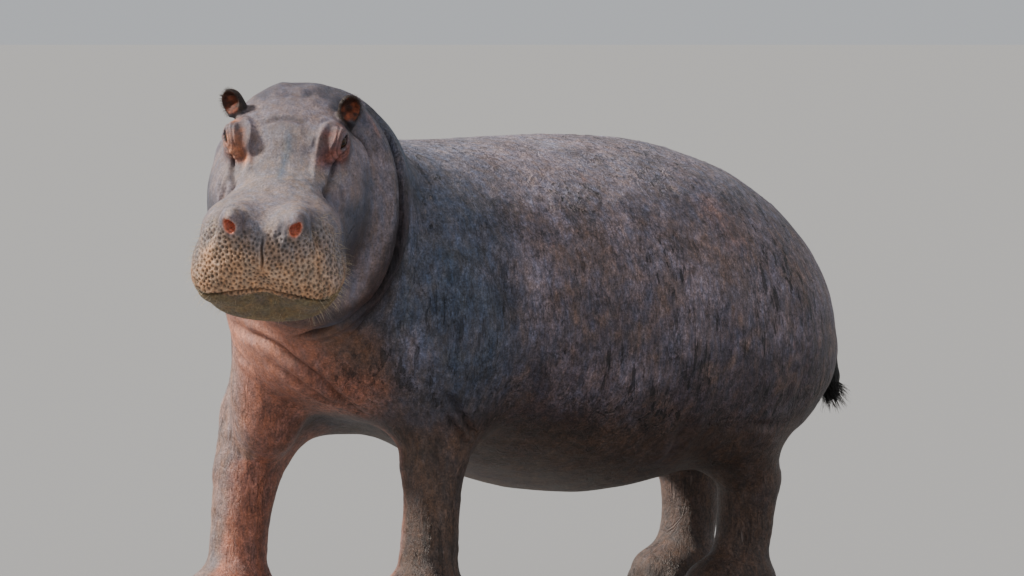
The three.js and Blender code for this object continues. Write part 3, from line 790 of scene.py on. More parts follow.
def addPits(points, where, lift):
    pit = np.zeros(len(points))
    cleft = bump(where["head"][:, 0], 9) * ramp(where["head"][:, 2], -140, -110)
    pad = (where["muzzle"] + 0.35 * where["chin"]) * (1 - cleft)
    pitSpots = scatter(points, pad, reliefForm["pitGap"] * mm)
    near = np.flatnonzero(pad > 0.02)
    squeeze = np.array((1, 1, 0.8))  # pits are a little taller than wide
    which, away = nearestOf(points[near] * squeeze, points[pitSpots] * squeeze)
    sizes = reliefForm["pitRadius"] * rng.uniform(0.7, 1.25, len(pitSpots))
    strength = np.minimum(pad[near], 1)
    shape = bump(away / mm / sizes[which], 1)
    lift[near] += strength * (1.2 - reliefForm["pitDepth"] * shape)
    # the pit mask also carries painted shade: the colour darkens inside each pit
    pit[near] = strength * shape
    return pit, pitSpots


def addLidRings(points, lift, crease):
    depth, spacing = reliefForm["lidRings"]
    for side in (1, -1):
        q = toLocal(eyeFrame(side), points) / mm
        near = np.flatnonzero((np.abs(q) < 80).all(1) & (q[:, 2] > -10))
        q = q[near]
        across = roundness(1.7, q[:, 0] / (1.15 * eyeForm["slit"][0]), q[:, 1] / (1.3 * eyeForm["slit"][1]))
        across = across + 0.12 * noise(points[near], (24, 24, 24), 8)
        fade = ramp(across, 1.0, 1.15) * (1 - ramp(across, 2.0, 3.1))
        wave = np.cos((across - 1.18) / spacing * 2 * math.pi)
        lift[near] += depth * wave * fade
        # painted shade in the troughs between the rings round the lids
        crease[near] = np.maximum(crease[near], 0.55 * ramp(-wave, 0.2, 1) * fade)


def shapeSurface(piece):
    points, normals = pointsOf(piece.data), normalsOf(piece.data)
    where = regions(points, normals)
    lift, crease = np.zeros(len(points)), np.zeros(len(points))
    for fold in folds:
        for side in (1, -1) if fold.get("pair") else (1,):
            pressFold(fold, side, points, normals, lift, crease)
    report("folds pressed")
    small = 1 - 0.55 * where["onHead"]
    weights = {
        "swells": small, "softness": 1, "drapes": where["flank"], "legRings": where["leg"],
        "fine": where["onHead"],
    }
    for n, (name, weight) in enumerate(weights.items()):
        depth, size = reliefForm[name]
        lift += depth * weight * roughNoise(points, size, 20 + 3 * n, 2)
    depth, size = reliefForm["backBumps"]
    lift += depth * where["back"] * ramp(noise(points, size, 40), 0.45, 0.95)
    lift -= reliefForm["chinBack"] * where["chin"]
    addLidRings(points, lift, crease)
    pit, pitSpots = addPits(points, where, lift)
    still = ramp(points[:, 2], 8 * mm, 40 * mm)  # the soles stay flat
    points += normals * (lift * still * mm)[:, None]
    movePoints(piece.data, points)
    report("relief raised")
    return points, normals, where, crease, pit, pitSpots


skinPoints, skinNormals, where, crease, pit, pitSpots = shapeSurface(skin)


# Colours of the hide. Some stand for light and shade: shoulder is a painted shadow of the head; cheek,
# jowlLow, flankDark and belly are darker, partly as painted shade; back, face and bridge are paler as painted
# sheen and light;
# chest, chestDark, throat and nostril are lighter as painted light; rope is a painted shadow behind the jowl;
# socket, crease and pit are painted shade in hollows; rightRim is paler as painted light; the scar colour
# also paints one patch of light.
hideColours = {
    "hide": "#82757a", "flankDark": "#4b434b", "flankWarm": "#806a60", "back": "#817d87", "belly": "#45332b",
    "shoulder": "#434e5d", "face": "#786d70", "bridge": "#877d7a", "crown": "#4f4b54", "cheek": "#46464d",
    "jowlLow": "#412e29", "rope": "#2a2024", "muzzle": "#bf9a79", "muzzleSide": "#8f827b",
    "lipEdge": "#b08660", "pit": "#1b120f", "chin": "#796747", "blue": "#566473", "throat": "#c98c74",
    "chest": "#90604f", "chestDark": "#644a3d", "legFront": "#b0745e", "legOuter": "#857169",
    "leg": "#564439", "sole": "#382f2a", "eyeRim": "#9c604f", "rightRim": "#d48c64", "socket": "#55393a",
    "nostril": "#e28c70", "nostrilRim": "#b89a8f", "ear": "#271c18", "earInside": "#7d4026",
    "tail": "#191614", "scar": "#96756c", "crease": "#171010",
}


def linear(hexCode):
    channels = np.array([int(hexCode[n : n + 2], 16) / 255 for n in (1, 3, 5)])
    return np.where(channels < 0.04045, channels / 12.92, ((channels + 0.055) / 1.055) ** 2.4)


# Gives a function that mixes a colour of the palette into every point's tint, by its own amount.
def mixer(tint, palette):
    def blend(name, amount):
        tint[:] += (linear(palette[name]) - tint) * np.clip(amount, 0, 1)[:, None]

    return blend


def storeColours(piece, name, values):
    layer = piece.data.attributes.new(name, "FLOAT_COLOR", "POINT")
    full = np.c_[np.clip(values, 0, 1), np.ones(len(values))]
    layer.data.foreach_set("color", full.astype(np.float32).ravel())


# Lines on the skin that carry a colour: scars, a bluish streak down the bridge, a painted shadow along the
# roll behind the jowl, and one wide painted patch of light on the upper flank.
colourLines = [
    # painted shadow: a dark band along the roll behind the jowl
    dict(on="body", colour="rope", width=30, strength=0.95, through=ropeCourse[:-1]),
    dict(on="body", colour="scar", width=8, strength=0.8, through=(
        (386, -944, 1536), (410, -935, 1505), (428, -931, 1476), (444, -928, 1442))),
    dict(on="head", colour="blue", width=13, strength=0.75, through=(
        (8, 20, 60), (12, -60, 30), (4, -130, 2), (14, -210, 0))),
    dict(on="body", colour="scar", width=7, strength=0.6, through=((594, 596, 835), (594, 602, 801))),
    dict(on="body", colour="scar", width=6, strength=0.5, through=((590, 580, 790), (590, 588, 768))),
    dict(on="body", colour="scar", width=6, strength=0.55, through=(
        (340, -100, 1372), (388, -80, 1334), (421, -110, 1305))),
    dict(on="body", colour="scar", width=6, strength=0.4, through=((506, -312, 1163), (519, -324, 1119))),
    # painted light: this wide line in the scar colour is a paler patch of light on the upper flank, not a
    # scar
    dict(on="body", colour="scar", width=52, strength=0.6, through=(
        (455, 320, 1290), (505, 360, 1215), (549, 394, 1137), (570, 400, 1080))),
]
patches = {"big": (420, 51), "mid": (120, 57), "small": (36, 63)}  # size in millimetres, seed


def paintBody(blend, big, mid, small):
    b = where["body"]
    low = 1 - ramp(b[:, 2], 480, 860)
    # painted shade: the flanks darken towards the bottom, with dark patches at random
    blend("flankDark", 0.15 + 0.9 * (1 - ramp(b[:, 2] + 90 * big, 640, 1180)) + 0.5 * big + 0.45 * mid)
    blend("flankWarm", 0.55 * ramp(mid + 0.6 * small, 0.1, 0.9))
    # painted shadow: the head's shadow on the shoulders, spread over the front of the body in a bluish grey
    # that is partly the hide's own
    blend("shoulder", ramp(-b[:, 1], 330, 620) * (0.8 + 0.3 * mid))
    # painted sheen: the top of the back is paler and bluer where it faces up
    blend("back", where["back"] * (0.55 + 0.5 * mid))
    # the belly's dark brown is partly its own colour and partly painted shade under the body
    blend("belly", low * (0.9 + 0.3 * mid))
    blend("leg", where["leg"] * (0.8 + 0.3 * mid))


def paintChest(blend, mid):
    b, ahead = where["body"], -skinNormals[:, 1]
    x = b[:, 0]
    # The chest, its front and the throat are their own red browns, painted lighter as well: painted light
    # where the head's shadow falls on them.
    chest = ramp(-b[:, 1], 700, 880) * (1 - ramp(b[:, 2], 1060, 1160))
    blend("chestDark", chest * ramp(ahead, -0.2, 0.4) * (1 - ramp(x, 330, 430)))
    blend("chest", chest * (1 - ramp(x + 90 * mid, 150, 350)) * ramp(x + 70 * mid, -460, -280))
    throat = bump(b[:, 2] - 900 + 0.25 * x, 120) * (1 - ramp(x + 60 * mid, 0, 260))
    blend("throat", chest * throat * ramp(x + 50 * mid, -420, -240) * (0.85 + 0.4 * mid))


def paintLegs(blend, mid, small):
    x, y, z = where["body"].T
    facing = np.arctan2(skinNormals[:, 0], -skinNormals[:, 1])  # 0 looks ahead, to the left is positive
    facing = facing + 0.12 * small + 0.1 * mid
    fore, leftSide = ramp(-y, 560, 680), x > 0
    rightFore = fore * ramp(-x, 110, 200) * (1 - ramp(z, 740, 900))
    blend("chest", rightFore)
    blend("legFront", rightFore * bump(facing - 0.75, 0.5) * (0.8 + 0.25 * mid))
    blend("legOuter", rightFore * (1 - ramp(facing, 0.15, 0.55)) * (0.9 + 0.3 * mid))
    inner = ramp(-facing * np.sign(x), 0.1, 0.7) * ramp(-z, -760, -620)
    blend("chest", 0.75 * inner * fore * leftSide)
    # painted light: the side of the left foreleg turned towards the key light is painted paler
    blend("legOuter", 0.55 * fore * ramp(-facing, 0.35, 0.8) * ramp(-z, -600, -480) * leftSide)
    blend("sole", 1 - ramp(z, 30, 130))


def paintHead(blend, mid, small):
    onHead, pad = where["onHead"], where["muzzle"]
    x, y, z = where["head"].T
    up = where["headNormal"][:, 2]
    front = onHead * (1 - ramp(y, 150, 300))
    # painted shade: the head starts dark bluish grey, as its sides are in shade, and darker brown towards the
    # bottom
    blend("cheek", onHead * (0.85 + 0.25 * mid))
    blend("jowlLow", onHead * ramp(-z, 120, 420) * (0.9 + 0.2 * mid))
    # partly painted light: the face and bridge are paler where they face up
    blend("face", front * ramp(up + 0.25 * mid, 0.0, 0.65) * ramp(-z, -120, 160))
    blend("face", front * ramp(up + 0.2 * mid, 0.15, 0.7))
    blend("bridge", front * ramp(up, 0.55, 0.9) * ramp(-y, -60, 60) * (0.65 + 0.5 * mid))
    blend("crown", onHead * ramp(y + 40 * mid, 96, 190) * ramp(up, 0.1, 0.6) * (0.7 + 0.6 * small))
    blend("muzzleSide", pad * (0.95 + 0.2 * small))
    blend("muzzle", pad * ramp(-y - 0.3 * np.abs(x) + 40 * mid, 330, 430) * ramp(-z + 25 * mid, 10, 110))
    blend("lipEdge", pad * ramp(-z, 120, 200) * (0.55 + 0.3 * mid))
    blend("chin", where["chin"] * (0.95 + 0.35 * small))


def paintLine(blend, line):
    course = foldCourse({"head": head, "body": body}[line["on"]], line["through"])
    near, along, beside = besideLine(course, skinPoints, skinNormals, 3 * line["width"])
    ragged = bump(beside * (1 + 0.5 * noise(skinPoints[near], (30, 30, 30), 71)), line["width"])
    amount = np.zeros(len(skinPoints))
    amount[near] = line["strength"] * ragged * ramp(along, 0, 0.25) * ramp(1 - along, 0, 0.25)
    blend(line["colour"], amount)


def paintEye(blend, side, small):
    x, y, z = (toLocal(eyeFrame(side), skinPoints) / mm).T
    away = np.sqrt((x / 1.25) ** 2 + y**2 + z**2)
    ahead = ramp(-x, -30, 40)
    rim, pink = ("eyeRim", 0.6) if side > 0 else ("rightRim", 1.0)  # the right eye's rims are painted paler and stronger: painted light on the lit side of the face
    # painted shade: darker round each eye, in the hollow of its socket
    blend("socket", (1 - ramp(away, 36, 88)) * (0.35 + 0.55 * ahead) * (0.85 + 0.5 * small))
    blend(rim, pink * (1 - ramp(away, 26, 66)) * (0.3 + 0.5 * ahead + 0.9 * small))
    tear = bump(y + 0.1 * x, 16) * ramp(-x, 20, 44) * (1 - ramp(-x, 80, 130)) * ramp(z, -60, -30)
    blend(rim, 0.75 * pink * tear * (0.7 + 0.8 * small))
    return 1 - ramp(away, 24, 32)


def paintNostril(blend, side):
    n = toLocal(nostrilFrame(side), skinPoints) / mm
    inside = np.linalg.norm(n / nostrilForm["size"], axis=1)
    blend("nostrilRim", (1 - ramp(inside, 1.2, 1.6)) * 0.6)
    # partly painted light: the inside of each nostril is its own pink, painted lighter than its shade would
    # leave it
    blend("nostril", 1 - ramp(inside, 1.06, 1.22))
    return 1 - ramp(inside, 1.0, 1.15)


# Places in the ear's own frame, and how far out of its shell and of its hollow they are.
def inEar(own):
    a = toLocal(own, skinPoints) / mm
    at, size = earForm["hollow"]
    return a, np.linalg.norm(a / earForm["shell"], axis=1), np.linalg.norm((a - at) / size, axis=1)


def paintEar(blend, side):
    own = earFrame(side)
    a, shell, hollow = inEar(own)
    x, y, z = a.T
    onEar = 1 - ramp(shell, 1.15, 1.35)
    stalk = bump(np.hypot(x, y - 8), 40) * ramp(-z, 10, 40) * (1 - ramp(-z, 60, 92))
    blend("ear", np.maximum(onEar, 0.8 * stalk))
    cup = onEar * (1 - ramp(hollow, 1.02, 1.14)) * ramp(-skinNormals @ own["axes"][:, 1], -0.2, 0.3)
    warm = ramp(noise(skinPoints, (16, 16, 16), 81) + 0.012 * (x * side) - 0.012 * z, -0.35, 0.5)
    blend("earInside", cup * (0.15 + 0.85 * warm))


def paintSkin(piece):
    tint = np.tile(linear(hideColours["hide"]), (len(skinPoints), 1))
    blend = mixer(tint, hideColours)
    big, mid, small = (roughNoise(skinPoints, (size,) * 3, seed) for size, seed in patches.values())
    paintBody(blend, big, mid, small)
    paintChest(blend, mid)
    paintLegs(blend, mid, small)
    paintHead(blend, mid, small)
    for line in colourLines:
        paintLine(blend, line)
    gloss = 0.25 * where["muzzle"]
    for side in (1, -1):
        wet = paintEye(blend, side, small) + paintNostril(blend, side)
        paintEar(blend, side)
        gloss = np.maximum(gloss, wet)
    x, y, z = where["body"].T
    onTail = ramp(y, 1150, 1205) * ramp(-z + 40 * small, -930, -760)
    blend("tail", onTail * ramp(-np.abs(x - 60), -110, -80))
    # painted shade: creases, fold lines and lid-ring troughs are darkened where they sink
    blend("crease", 0.75 * crease)
    # painted shade: the muzzle's pits are darkened inside
    blend("pit", 0.85 * pit)
    streaks = np.maximum(where["flank"], 0.8 * ramp(y, -1060, -860)) * (1 - 0.25 * where["leg"])
    storeColours(piece, "tint", tint)
    storeColours(piece, "marks", np.stack([crease, streaks, gloss], axis=1))


# Short ways to make a material. node("TexNoise", Scale=4) adds a node and gives its first output, and
# surface(Roughness=0.5) sets what the shader takes. i0 is the input with number 0.
def startMaterial(name):
    material = bpy.data.materials.new(name)
    material.use_nodes = True
    tree = material.node_tree

    def fill(target, inputs):
        for key, value in inputs.items():
            socket = target.inputs[int(key[1:]) if key[1:].isdigit() else key.replace("_", " ")]
            if isinstance(value, bpy.types.NodeSocket):
                tree.links.new(value, socket)
            else:
                socket.default_value = value

    def node(kind, output=0, settings=(), **inputs):
        made = tree.nodes.new("ShaderNode" + kind)
        for key, value in dict(settings).items():
            setattr(made, key, value)
        fill(made, inputs)
        return made.outputs[output]

    def surface(**inputs):
        fill(tree.nodes["Principled BSDF"], inputs)

    def spread(value, low, high, start, end):
        return node("MapRange", "Result", Value=value, From_Min=low, From_Max=high, To_Min=start, To_Max=end)

    return material, node, surface, spread


hideLook = {  # how fine each pattern is: higher is finer
    "mottle": 8, "grain": 165, "weathered": 42, "cells": 230, "specks": 70, "drape": 66, "hue": 34,
    "wideCells": 105, "cracks": 42, "scratches": 64, "ridges": 7.5,
    "cool": (0.84, 0.95, 1.16, 1), "warm": (1.18, 1.0, 0.86, 1), "scratched": (0.42, 0.32, 0.28, 1),
    "bump": 0.85, "bumpDepth": 0.0046, "roughness": (0.46, 0.6), "wetter": 0.22, "shine": 0.42,
}
# How much lighter (over 1) or darker each mark is, and how much it rises (over 0) or sinks. The lighter
# ridges and crack rims are painted highlight, the darker furrows and cracks painted shade; the specks are the
# hide's own dark spots.
hideTones = {"ridges": 1.22, "furrows": 0.7, "crackRims": 1.3, "cracks": 0.22, "specks": 0.55}
hideRelief = {
    "cells": 0.05, "grain": 0.6, "weathered": 1.1, "wideCells": 0.3, "drape": 1.6, "crackRims": 0.7,
    "ridges": 0.55, "furrows": -0.55, "cracks": -2.2,
}


def makeHide():
    material, node, surface, spread = startMaterial("hide")
    place = node("TexCoord", "Object")
    tint = node("Attribute", "Color", {"attribute_name": "tint"})
    marks = node("Attribute", "Color", {"attribute_name": "marks"})
    creased, streaked, glossy = (node("SeparateColor", n, i0=marks) for n in range(3))

    def noisePattern(scale, detail, coords=place, rough=0.6):
        return node("TexNoise", "Fac", Vector=coords, Scale=scale, Detail=detail, Roughness=rough)

    def cellPattern(scale, coords=place, feature="DISTANCE_TO_EDGE"):
        return node("TexVoronoi", "Distance", {"feature": feature}, Vector=coords, Scale=scale)

    def drawnOut(tall, *turn):
        return node("Mapping", "Vector", Vector=place, Scale=(1, 1, tall), Rotation=turn)

    def calc(operation, a, b=0, clamp=False):
        return node("Math", 0, {"operation": operation, "use_clamp": clamp}, i0=a, i1=b)

    def times(a, b):
        return calc("MULTIPLY", a, b)

    def plus(a, b):
        return calc("ADD", a, b)

    def mix(amount, first, second):
        return node("Mix", 2, {"data_type": "RGBA"}, i0=amount, i6=first, i7=second)

    # patterns, first the even ones, then those that run down the flanks
    mottle = noisePattern(hideLook["mottle"], 8, rough=0.7)
    made = {
        "grain": noisePattern(hideLook["grain"], 6, rough=0.8),
        "weathered": noisePattern(hideLook["weathered"], 6, rough=0.8),
    }
    cells = cellPattern(hideLook["cells"])
    specks = spread(cellPattern(hideLook["specks"], feature="F1"), 0.12, 0.3, 1, 0)
    made["specks"] = times(specks, spread(noisePattern(7, 3), 0.42, 0.6, 0, 1))
    stretched = drawnOut(0.34, 0.18, 0, 0)
    drape = noisePattern(hideLook["drape"], 7, stretched, 0.74)
    hue = noisePattern(hideLook["hue"], 6, stretched, 0.75)
    wideCells = cellPattern(hideLook["wideCells"], stretched)
    somewhere = times(spread(noisePattern(3.4, 3), 0.44, 0.54, 0, 1), streaked)
    cracked = noisePattern(hideLook["cracks"], 3.5, drawnOut(0.13, 0.22, 0, 0), 0.55)
    made["cracks"] = times(spread(cracked, 0.585, 0.61, 0, 1), somewhere)
    made["crackRims"] = times(spread(cracked, 0.55, 0.58, 0, 1), somewhere)
    bare = times(spread(noisePattern(5, 2), 0.54, 0.6, 0, 1), streaked)
    scratched = noisePattern(hideLook["scratches"], 1.5, drawnOut(0.09, 0.9, 0.2, 0.5))
    scratches = times(spread(scratched, 0.7, 0.74, 0, 1), bare)
    wavy = noisePattern(hideLook["ridges"], 2.5, drawnOut(0.45, 0.5, 0.1, 0.2), 0.6)
    fromLine = calc("ABSOLUTE", calc("SUBTRACT", wavy, 0.5))
    beyond = calc("ABSOLUTE", calc("SUBTRACT", fromLine, 0.026))
    here = times(spread(noisePattern(4.5, 3), 0.4, 0.56, 0.15, 1), streaked)
    made["ridges"] = times(spread(fromLine, 0, 0.014, 1, 0), here)
    made["furrows"] = times(spread(beyond, 0, 0.012, 1, 0), here)

    # colour
    shade = times(spread(mottle, 0.3, 0.7, 0.56, 1.44), spread(made["grain"], 0.32, 0.68, 0.3, 1.7))
    shade = times(shade, spread(made["weathered"], 0.32, 0.68, 0.5, 1.5))
    shade = spread(spread(streaked, 0, 1, 0.72, 1), 0, 1, 1, shade)
    shade = times(shade, spread(streaked, 0, 1, 1, spread(drape, 0.32, 0.68, 0.46, 1.54)))
    # painted shade: thin dark lines along the grooves between the long cells
    crackle = times(spread(wideCells, 0, 0.16, 0.55, 0), spread(noisePattern(9, 4), 0.4, 0.62, 0.1, 1))
    shade = times(shade, calc("SUBTRACT", 1, times(crackle, streaked)))
    # painted highlight on ridges and crack rims, painted shade in furrows and cracks; specks darken as their
    # own colour
    for name, tone in hideTones.items():
        shade = times(shade, spread(made[name], 0, 1, 1, tone))
    warm = mix(spread(hue, 0.36, 0.64, 0, 1), hideLook["cool"], hideLook["warm"])
    colour = node("VectorMath", "Vector", {"operation": "MULTIPLY"}, i0=tint, i1=warm)
    colour = node("VectorMath", "Vector", {"operation": "SCALE"}, Vector=colour, Scale=shade)

    # relief and gloss
    made["cells"] = spread(cells, 0, 0.2, 0, 1)
    made["wideCells"] = times(spread(wideCells, 0, 0.25, 0, 1), streaked)
    made["drape"] = times(drape, streaked)
    height = 0
    for name, rise in hideRelief.items():
        height = plus(height, times(made[name], rise))
    rough = plus(spread(mottle, 0.3, 0.7, *hideLook["roughness"]), times(creased, 0.2))
    strength, depth = hideLook["bump"], hideLook["bumpDepth"]
    surface(
        Base_Color=mix(times(scratches, 0.5), colour, hideLook["scratched"]),
        Normal=node("Bump", "Normal", Height=height, Strength=strength, Distance=depth),
        Roughness=calc("SUBTRACT", rough, times(glossy, hideLook["wetter"]), True),
        Specular_IOR_Level=hideLook["shine"],
    )
    return material


paintSkin(skin)
skin.data.materials.append(makeHide())
report("hide painted")


# A place for every face on one flat sheet, for the finished colours: charts by part and by facing,
# finer on the head.
layoutForm = {
    "finer": {"muzzle": 2.0, "face": 1.6, "leftEar": 2.4, "rightEar": 2.4, "tail": 1.3},
    "gap": 0.02, "tuft": 0.003,
}


def partsOf(points):
    q, b = toLocal(head, points) / mm, toLocal(body, points) / mm
    parts = np.full(len(points), "torso", dtype="<U10")
    parts[(b[:, 2] < 560) & (np.abs(b[:, 0]) > 60)] = "leg"
    for end, ahead in (("Fore", b[:, 1] < 0), ("Hind", b[:, 1] >= 0)):
        for name, side in (("left", 1), ("right", -1)):
            parts[(parts == "leg") & ahead & (b[:, 0] * side > 0)] = name + end
    parts[(b[:, 1] > 1150) & (np.abs(b[:, 0] - 60) < 90) & (b[:, 2] < 930)] = "tail"
    parts[where["onHead"] > 0.5] = "face"
    parts[(where["onHead"] > 0.5) & (q[:, 1] < -290)] = "muzzle"
    for name, side in (("left", 1), ("right", -1)):
        parts[np.linalg.norm(toLocal(earFrame(side), points), axis=1) < 62 * mm] = name + "Ear"
    return parts


def flatPlaces(points, normals, parts):
    charts = np.empty(len(points), dtype="<U14")
    flat = np.empty((len(points), 2))
    for part in np.unique(parts):
        local = body if part in ("torso", "tail") or "Fore" in part or "Hind" in part else head
        mine = np.flatnonzero(parts == part)
        q, facing = toLocal(local, points[mine]), normals[mine] @ local["axes"]
        main = np.abs(facing).argmax(1)
        for axis in range(3):
            for sign, mark in ((1, "+"), (-1, "-")):
                chosen = (main == axis) & (facing[:, axis] * sign > 0)
                charts[mine[chosen]] = f"{part}{mark}{axis}"
                flat[mine[chosen]] = np.delete(q[chosen], axis, axis=1) * layoutForm["finer"].get(part, 1)
    return charts, flat


# Charts stand on shelves, the tallest first; each gets a shift, and all share one scale.
def packCharts(charts, flat):
    names, gap = np.unique(charts), layoutForm["gap"]
    lows = {name: flat[charts == name].min(0) for name in names}
    sizes = {name: flat[charts == name].max(0) - lows[name] + gap for name in names}
    width = math.sqrt(sum(s[0] * s[1] for s in sizes.values())) * 1.12
    shifts, x, y, shelf = {}, gap, gap, 0
    for name in sorted(names, key=lambda n: -sizes[n][1]):
        if x + sizes[name][0] > width:
            x, y, shelf = gap, y + shelf, 0
        shifts[name] = np.array((x, y)) - lows[name]
        x, shelf = x + sizes[name][0], max(shelf, sizes[name][1])
    return shifts, 1 / max(width + gap, y + shelf)


def storeLayout(mesh, places):
    mesh.uv_layers.new(name="OFBake").data.foreach_set("uv", places.astype(np.float32).ravel())


def layOut(piece):
    mesh = piece.data
    starts = readFrom(mesh.polygons, "loop_start", np.int32)
    facing = readFrom(mesh.polygons, "normal", np.float32, 3).reshape(-1, 3)
    corners = readFrom(mesh.loops, "vertex_index", np.int32)
    counts = np.diff(np.append(starts, len(corners)))
    parts = partsOf(skinPoints)[corners[starts]]
    normals, parts = np.repeat(facing, counts, axis=0), np.repeat(parts, counts)
    charts, flat = flatPlaces(skinPoints[corners], normals, parts)
    shifts, scale = packCharts(charts, flat)
    order, which = np.unique(charts, return_inverse=True)
    places = (flat + np.array([shifts[name] for name in order])[which]) * scale
    storeLayout(mesh, places)
    firstCorner = np.zeros(len(skinPoints), np.int64)
    firstCorner[corners[::-1]] = np.arange(len(corners))[::-1]
    return places[firstCorner]


skinPlaces = layOut(skin)
report("skin laid out")


# Eyes: a ball with a clear bulge over the iris, under the lids.
eyeLook = {
    "ball": 24.6, "bulge": 1.3, "gaze": (0.72, -0.66, 0.2), "iris": 12.5, "pupil": (5.6, 3.8), "rim": 1.5,
    "white": "#3d2c25", "vein": "#53291f", "edge": "#140d0a", "brown": "#2e1d11", "amber": "#3d2815",
    "black": "#050404",
}


def ringedBall(angles, spokes):
    turn = np.linspace(0, 2 * math.pi, spokes, endpoint=False)
    circle = np.stack([np.cos(turn), np.sin(turn)], axis=1)
    rows = [np.c_[np.sin(a) * circle, np.full(spokes, np.cos(a))] for a in angles]
    end = len(angles) * spokes
    faces = [tuple(range(spokes)), tuple(range(end - spokes, end))[::-1]]
    for row in range(len(angles) - 1):
        for n in range(spokes):
            m = (n + 1) % spokes
            faces.append((row * spokes + m, row * spokes + n, (row + 1) * spokes + n, (row + 1) * spokes + m))
    return np.concatenate(rows), faces


def makeEye(name, side):
    angles = np.concatenate([np.linspace(0.03, 0.64, 16), np.linspace(0.74, math.pi - 0.05, 16)])
    points, faces = ringedBall(angles, 48)
    gaze = unit(np.array(mirrored(eyeLook["gaze"], side)))
    across = unit(np.cross((0, 0, 1), gaze))
    axes = np.stack([across, np.cross(gaze, across), gaze], axis=1)
    q = points * eyeLook["ball"]
    fromGaze = np.where(q[:, 2] > 0, np.hypot(q[:, 0], q[:, 1]), 99)
    q += points * (eyeLook["bulge"] * bump(fromGaze, eyeLook["iris"] + 1))[:, None]
    centre = np.array(mirrored(eyeForm["at"], side))
    world = toWorld(head, (q @ axes.T + centre) * mm)
    eye = meshPiece(name, world, faces)
    tint = np.tile(linear(eyeLook["white"]), (len(q), 1))
    blend = mixer(tint, eyeLook)
    iris, rim = eyeLook["iris"], eyeLook["rim"]
    blend("vein", 0.6 * ramp(noise(world, (7, 7, 7), 5), 0.1, 0.7))
    blend("edge", 1 - ramp(fromGaze, iris, iris + 2.4 * rim))
    blend("brown", 1 - ramp(fromGaze, iris - 2 * rim, iris - 0.3 * rim))
    blend("amber", 0.8 * bump(fromGaze - 0.6 * iris, 3))
    wide, tall = eyeLook["pupil"]
    pupil = np.hypot(q[:, 0] / wide, q[:, 1] / tall)
    blend("black", np.where(q[:, 2] > 0, 1 - ramp(pupil, 0.9, 1.15), 0))
    storeColours(eye, "tint", tint)
    eye.data.materials.append(wetEye)
    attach(eye, "root")
    return eye


def makeWetEye():
    material, node, surface, spread = startMaterial("eye")
    tint = node("Attribute", "Color", {"attribute_name": "tint"})
    place = node("TexCoord", "Object")
    threads = node("TexNoise", "Fac", Vector=place, Scale=420, Detail=3, Roughness=0.6)
    shade = spread(threads, 0.3, 0.7, 0.65, 1.35)
    surface(
        Base_Color=node("VectorMath", "Vector", {"operation": "SCALE"}, Vector=tint, Scale=shade),
        Roughness=spread(threads, 0.3, 0.7, 0.06, 0.16),
        Coat_Weight=0.2, Coat_Roughness=0.05, Specular_IOR_Level=0.15,
    )
    return material


wetEye = makeWetEye()
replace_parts(makeEye("eyeLeft", 1), "eye_left")
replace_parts(makeEye("eyeRight", -1), "eye_right")
report("eyes made")


# Four hoof-like nails on each foot: rounded above, flatter below, with growth rings across them.
nailLook = {
    "ahead": 42, "height": 34, "size": (23, 20, 24), "flare": 0.12, "flat": 0.72, "rings": (0.35, 3.4),
    "dark": (0.028, 0.02, 0.015, 1), "pale": (0.16, 0.115, 0.082, 1),
}


def makeNails():
    ball, faces = ringedBall(np.linspace(0.06, math.pi - 0.06, 26), 32)
    points, allFaces = [], []
    depth, spacing = nailLook["rings"]
    for leg in legForm.values():
        for x, y in toePlaces(leg):
            q = ball * nailLook["size"]
            q[:, 2] = np.where(q[:, 2] < 0, nailLook["flat"] * q[:, 2], q[:, 2])
            q[:, :2] *= (1 - nailLook["flare"] * q[:, 2] / nailLook["size"][2])[:, None]
            wave = np.cos((q[:, 2] - 0.3 * q[:, 1]) / spacing * 2 * math.pi)
            q += ball * (depth * wave * (1 - np.abs(ball[:, 2]) ** 3))[:, None] * (1, 1, 0)
            start = len(ball) * len(points)
            points.append(toWorld(body, (q + (x, y - nailLook["ahead"], nailLook["height"])) * mm))
            allFaces += [tuple(n + start for n in face) for face in faces]
    nails = meshPiece("nails", np.concatenate(points), allFaces)
    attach(nails, "root")
    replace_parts(nails, *[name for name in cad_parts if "_nail_" in name])
    return nails


def makeHorn():
    material, node, surface, spread = startMaterial("nail")
    place = node("TexCoord", "Object")
    flatter = node("Mapping", "Vector", Vector=place, Scale=(1, 1, 6))
    rings = node("TexNoise", "Fac", Vector=flatter, Scale=60, Detail=5, Roughness=0.6)
    chips = node("TexNoise", "Fac", Vector=place, Scale=190, Detail=4, Roughness=0.7)
    mixed = node("Mix", 2, {"data_type": "RGBA"}, i0=rings, i6=nailLook["dark"], i7=nailLook["pale"])
    shade = spread(chips, 0.3, 0.7, 0.7, 1.3)
    height = node("Math", 0, {"operation": "ADD"}, i0=rings, i1=chips)
    surface(
        Base_Color=node("VectorMath", "Vector", {"operation": "SCALE"}, Vector=mixed, Scale=shade),
        Roughness=spread(chips, 0, 1, 0.42, 0.68),
        Normal=node("Bump", "Normal", Height=height, Strength=0.5, Distance=0.001),
    )
    return material


makeNails().data.materials.append(makeHorn())
report("nails made")


# Bristles stand on the muzzle, round the ears and on the tail's tip. Each is a thin bent cone.
hairForm = {  # length and radius in millimetres; the muzzle's are longer at the sides
    "muzzleHair": dict(length=(8, 15), longer=24, radius=0.45, droop=0.55, stand=1.0,
                       colour="#b39c7c", tip="#d9c8a8"),
    "earHair": dict(length=(7, 15), longer=0, radius=0.42, droop=0.15, stand=1.2,
                    colour="#1d1410", tip="#5a3a26"),
    "tailHair": dict(length=(28, 50), longer=0, radius=1.0, droop=0.2, stand=0.8, below=672, count=420,
                     colour="#0d0b0a", tip="#2a211c"),
}
hairRows, hairSides = 6, 3


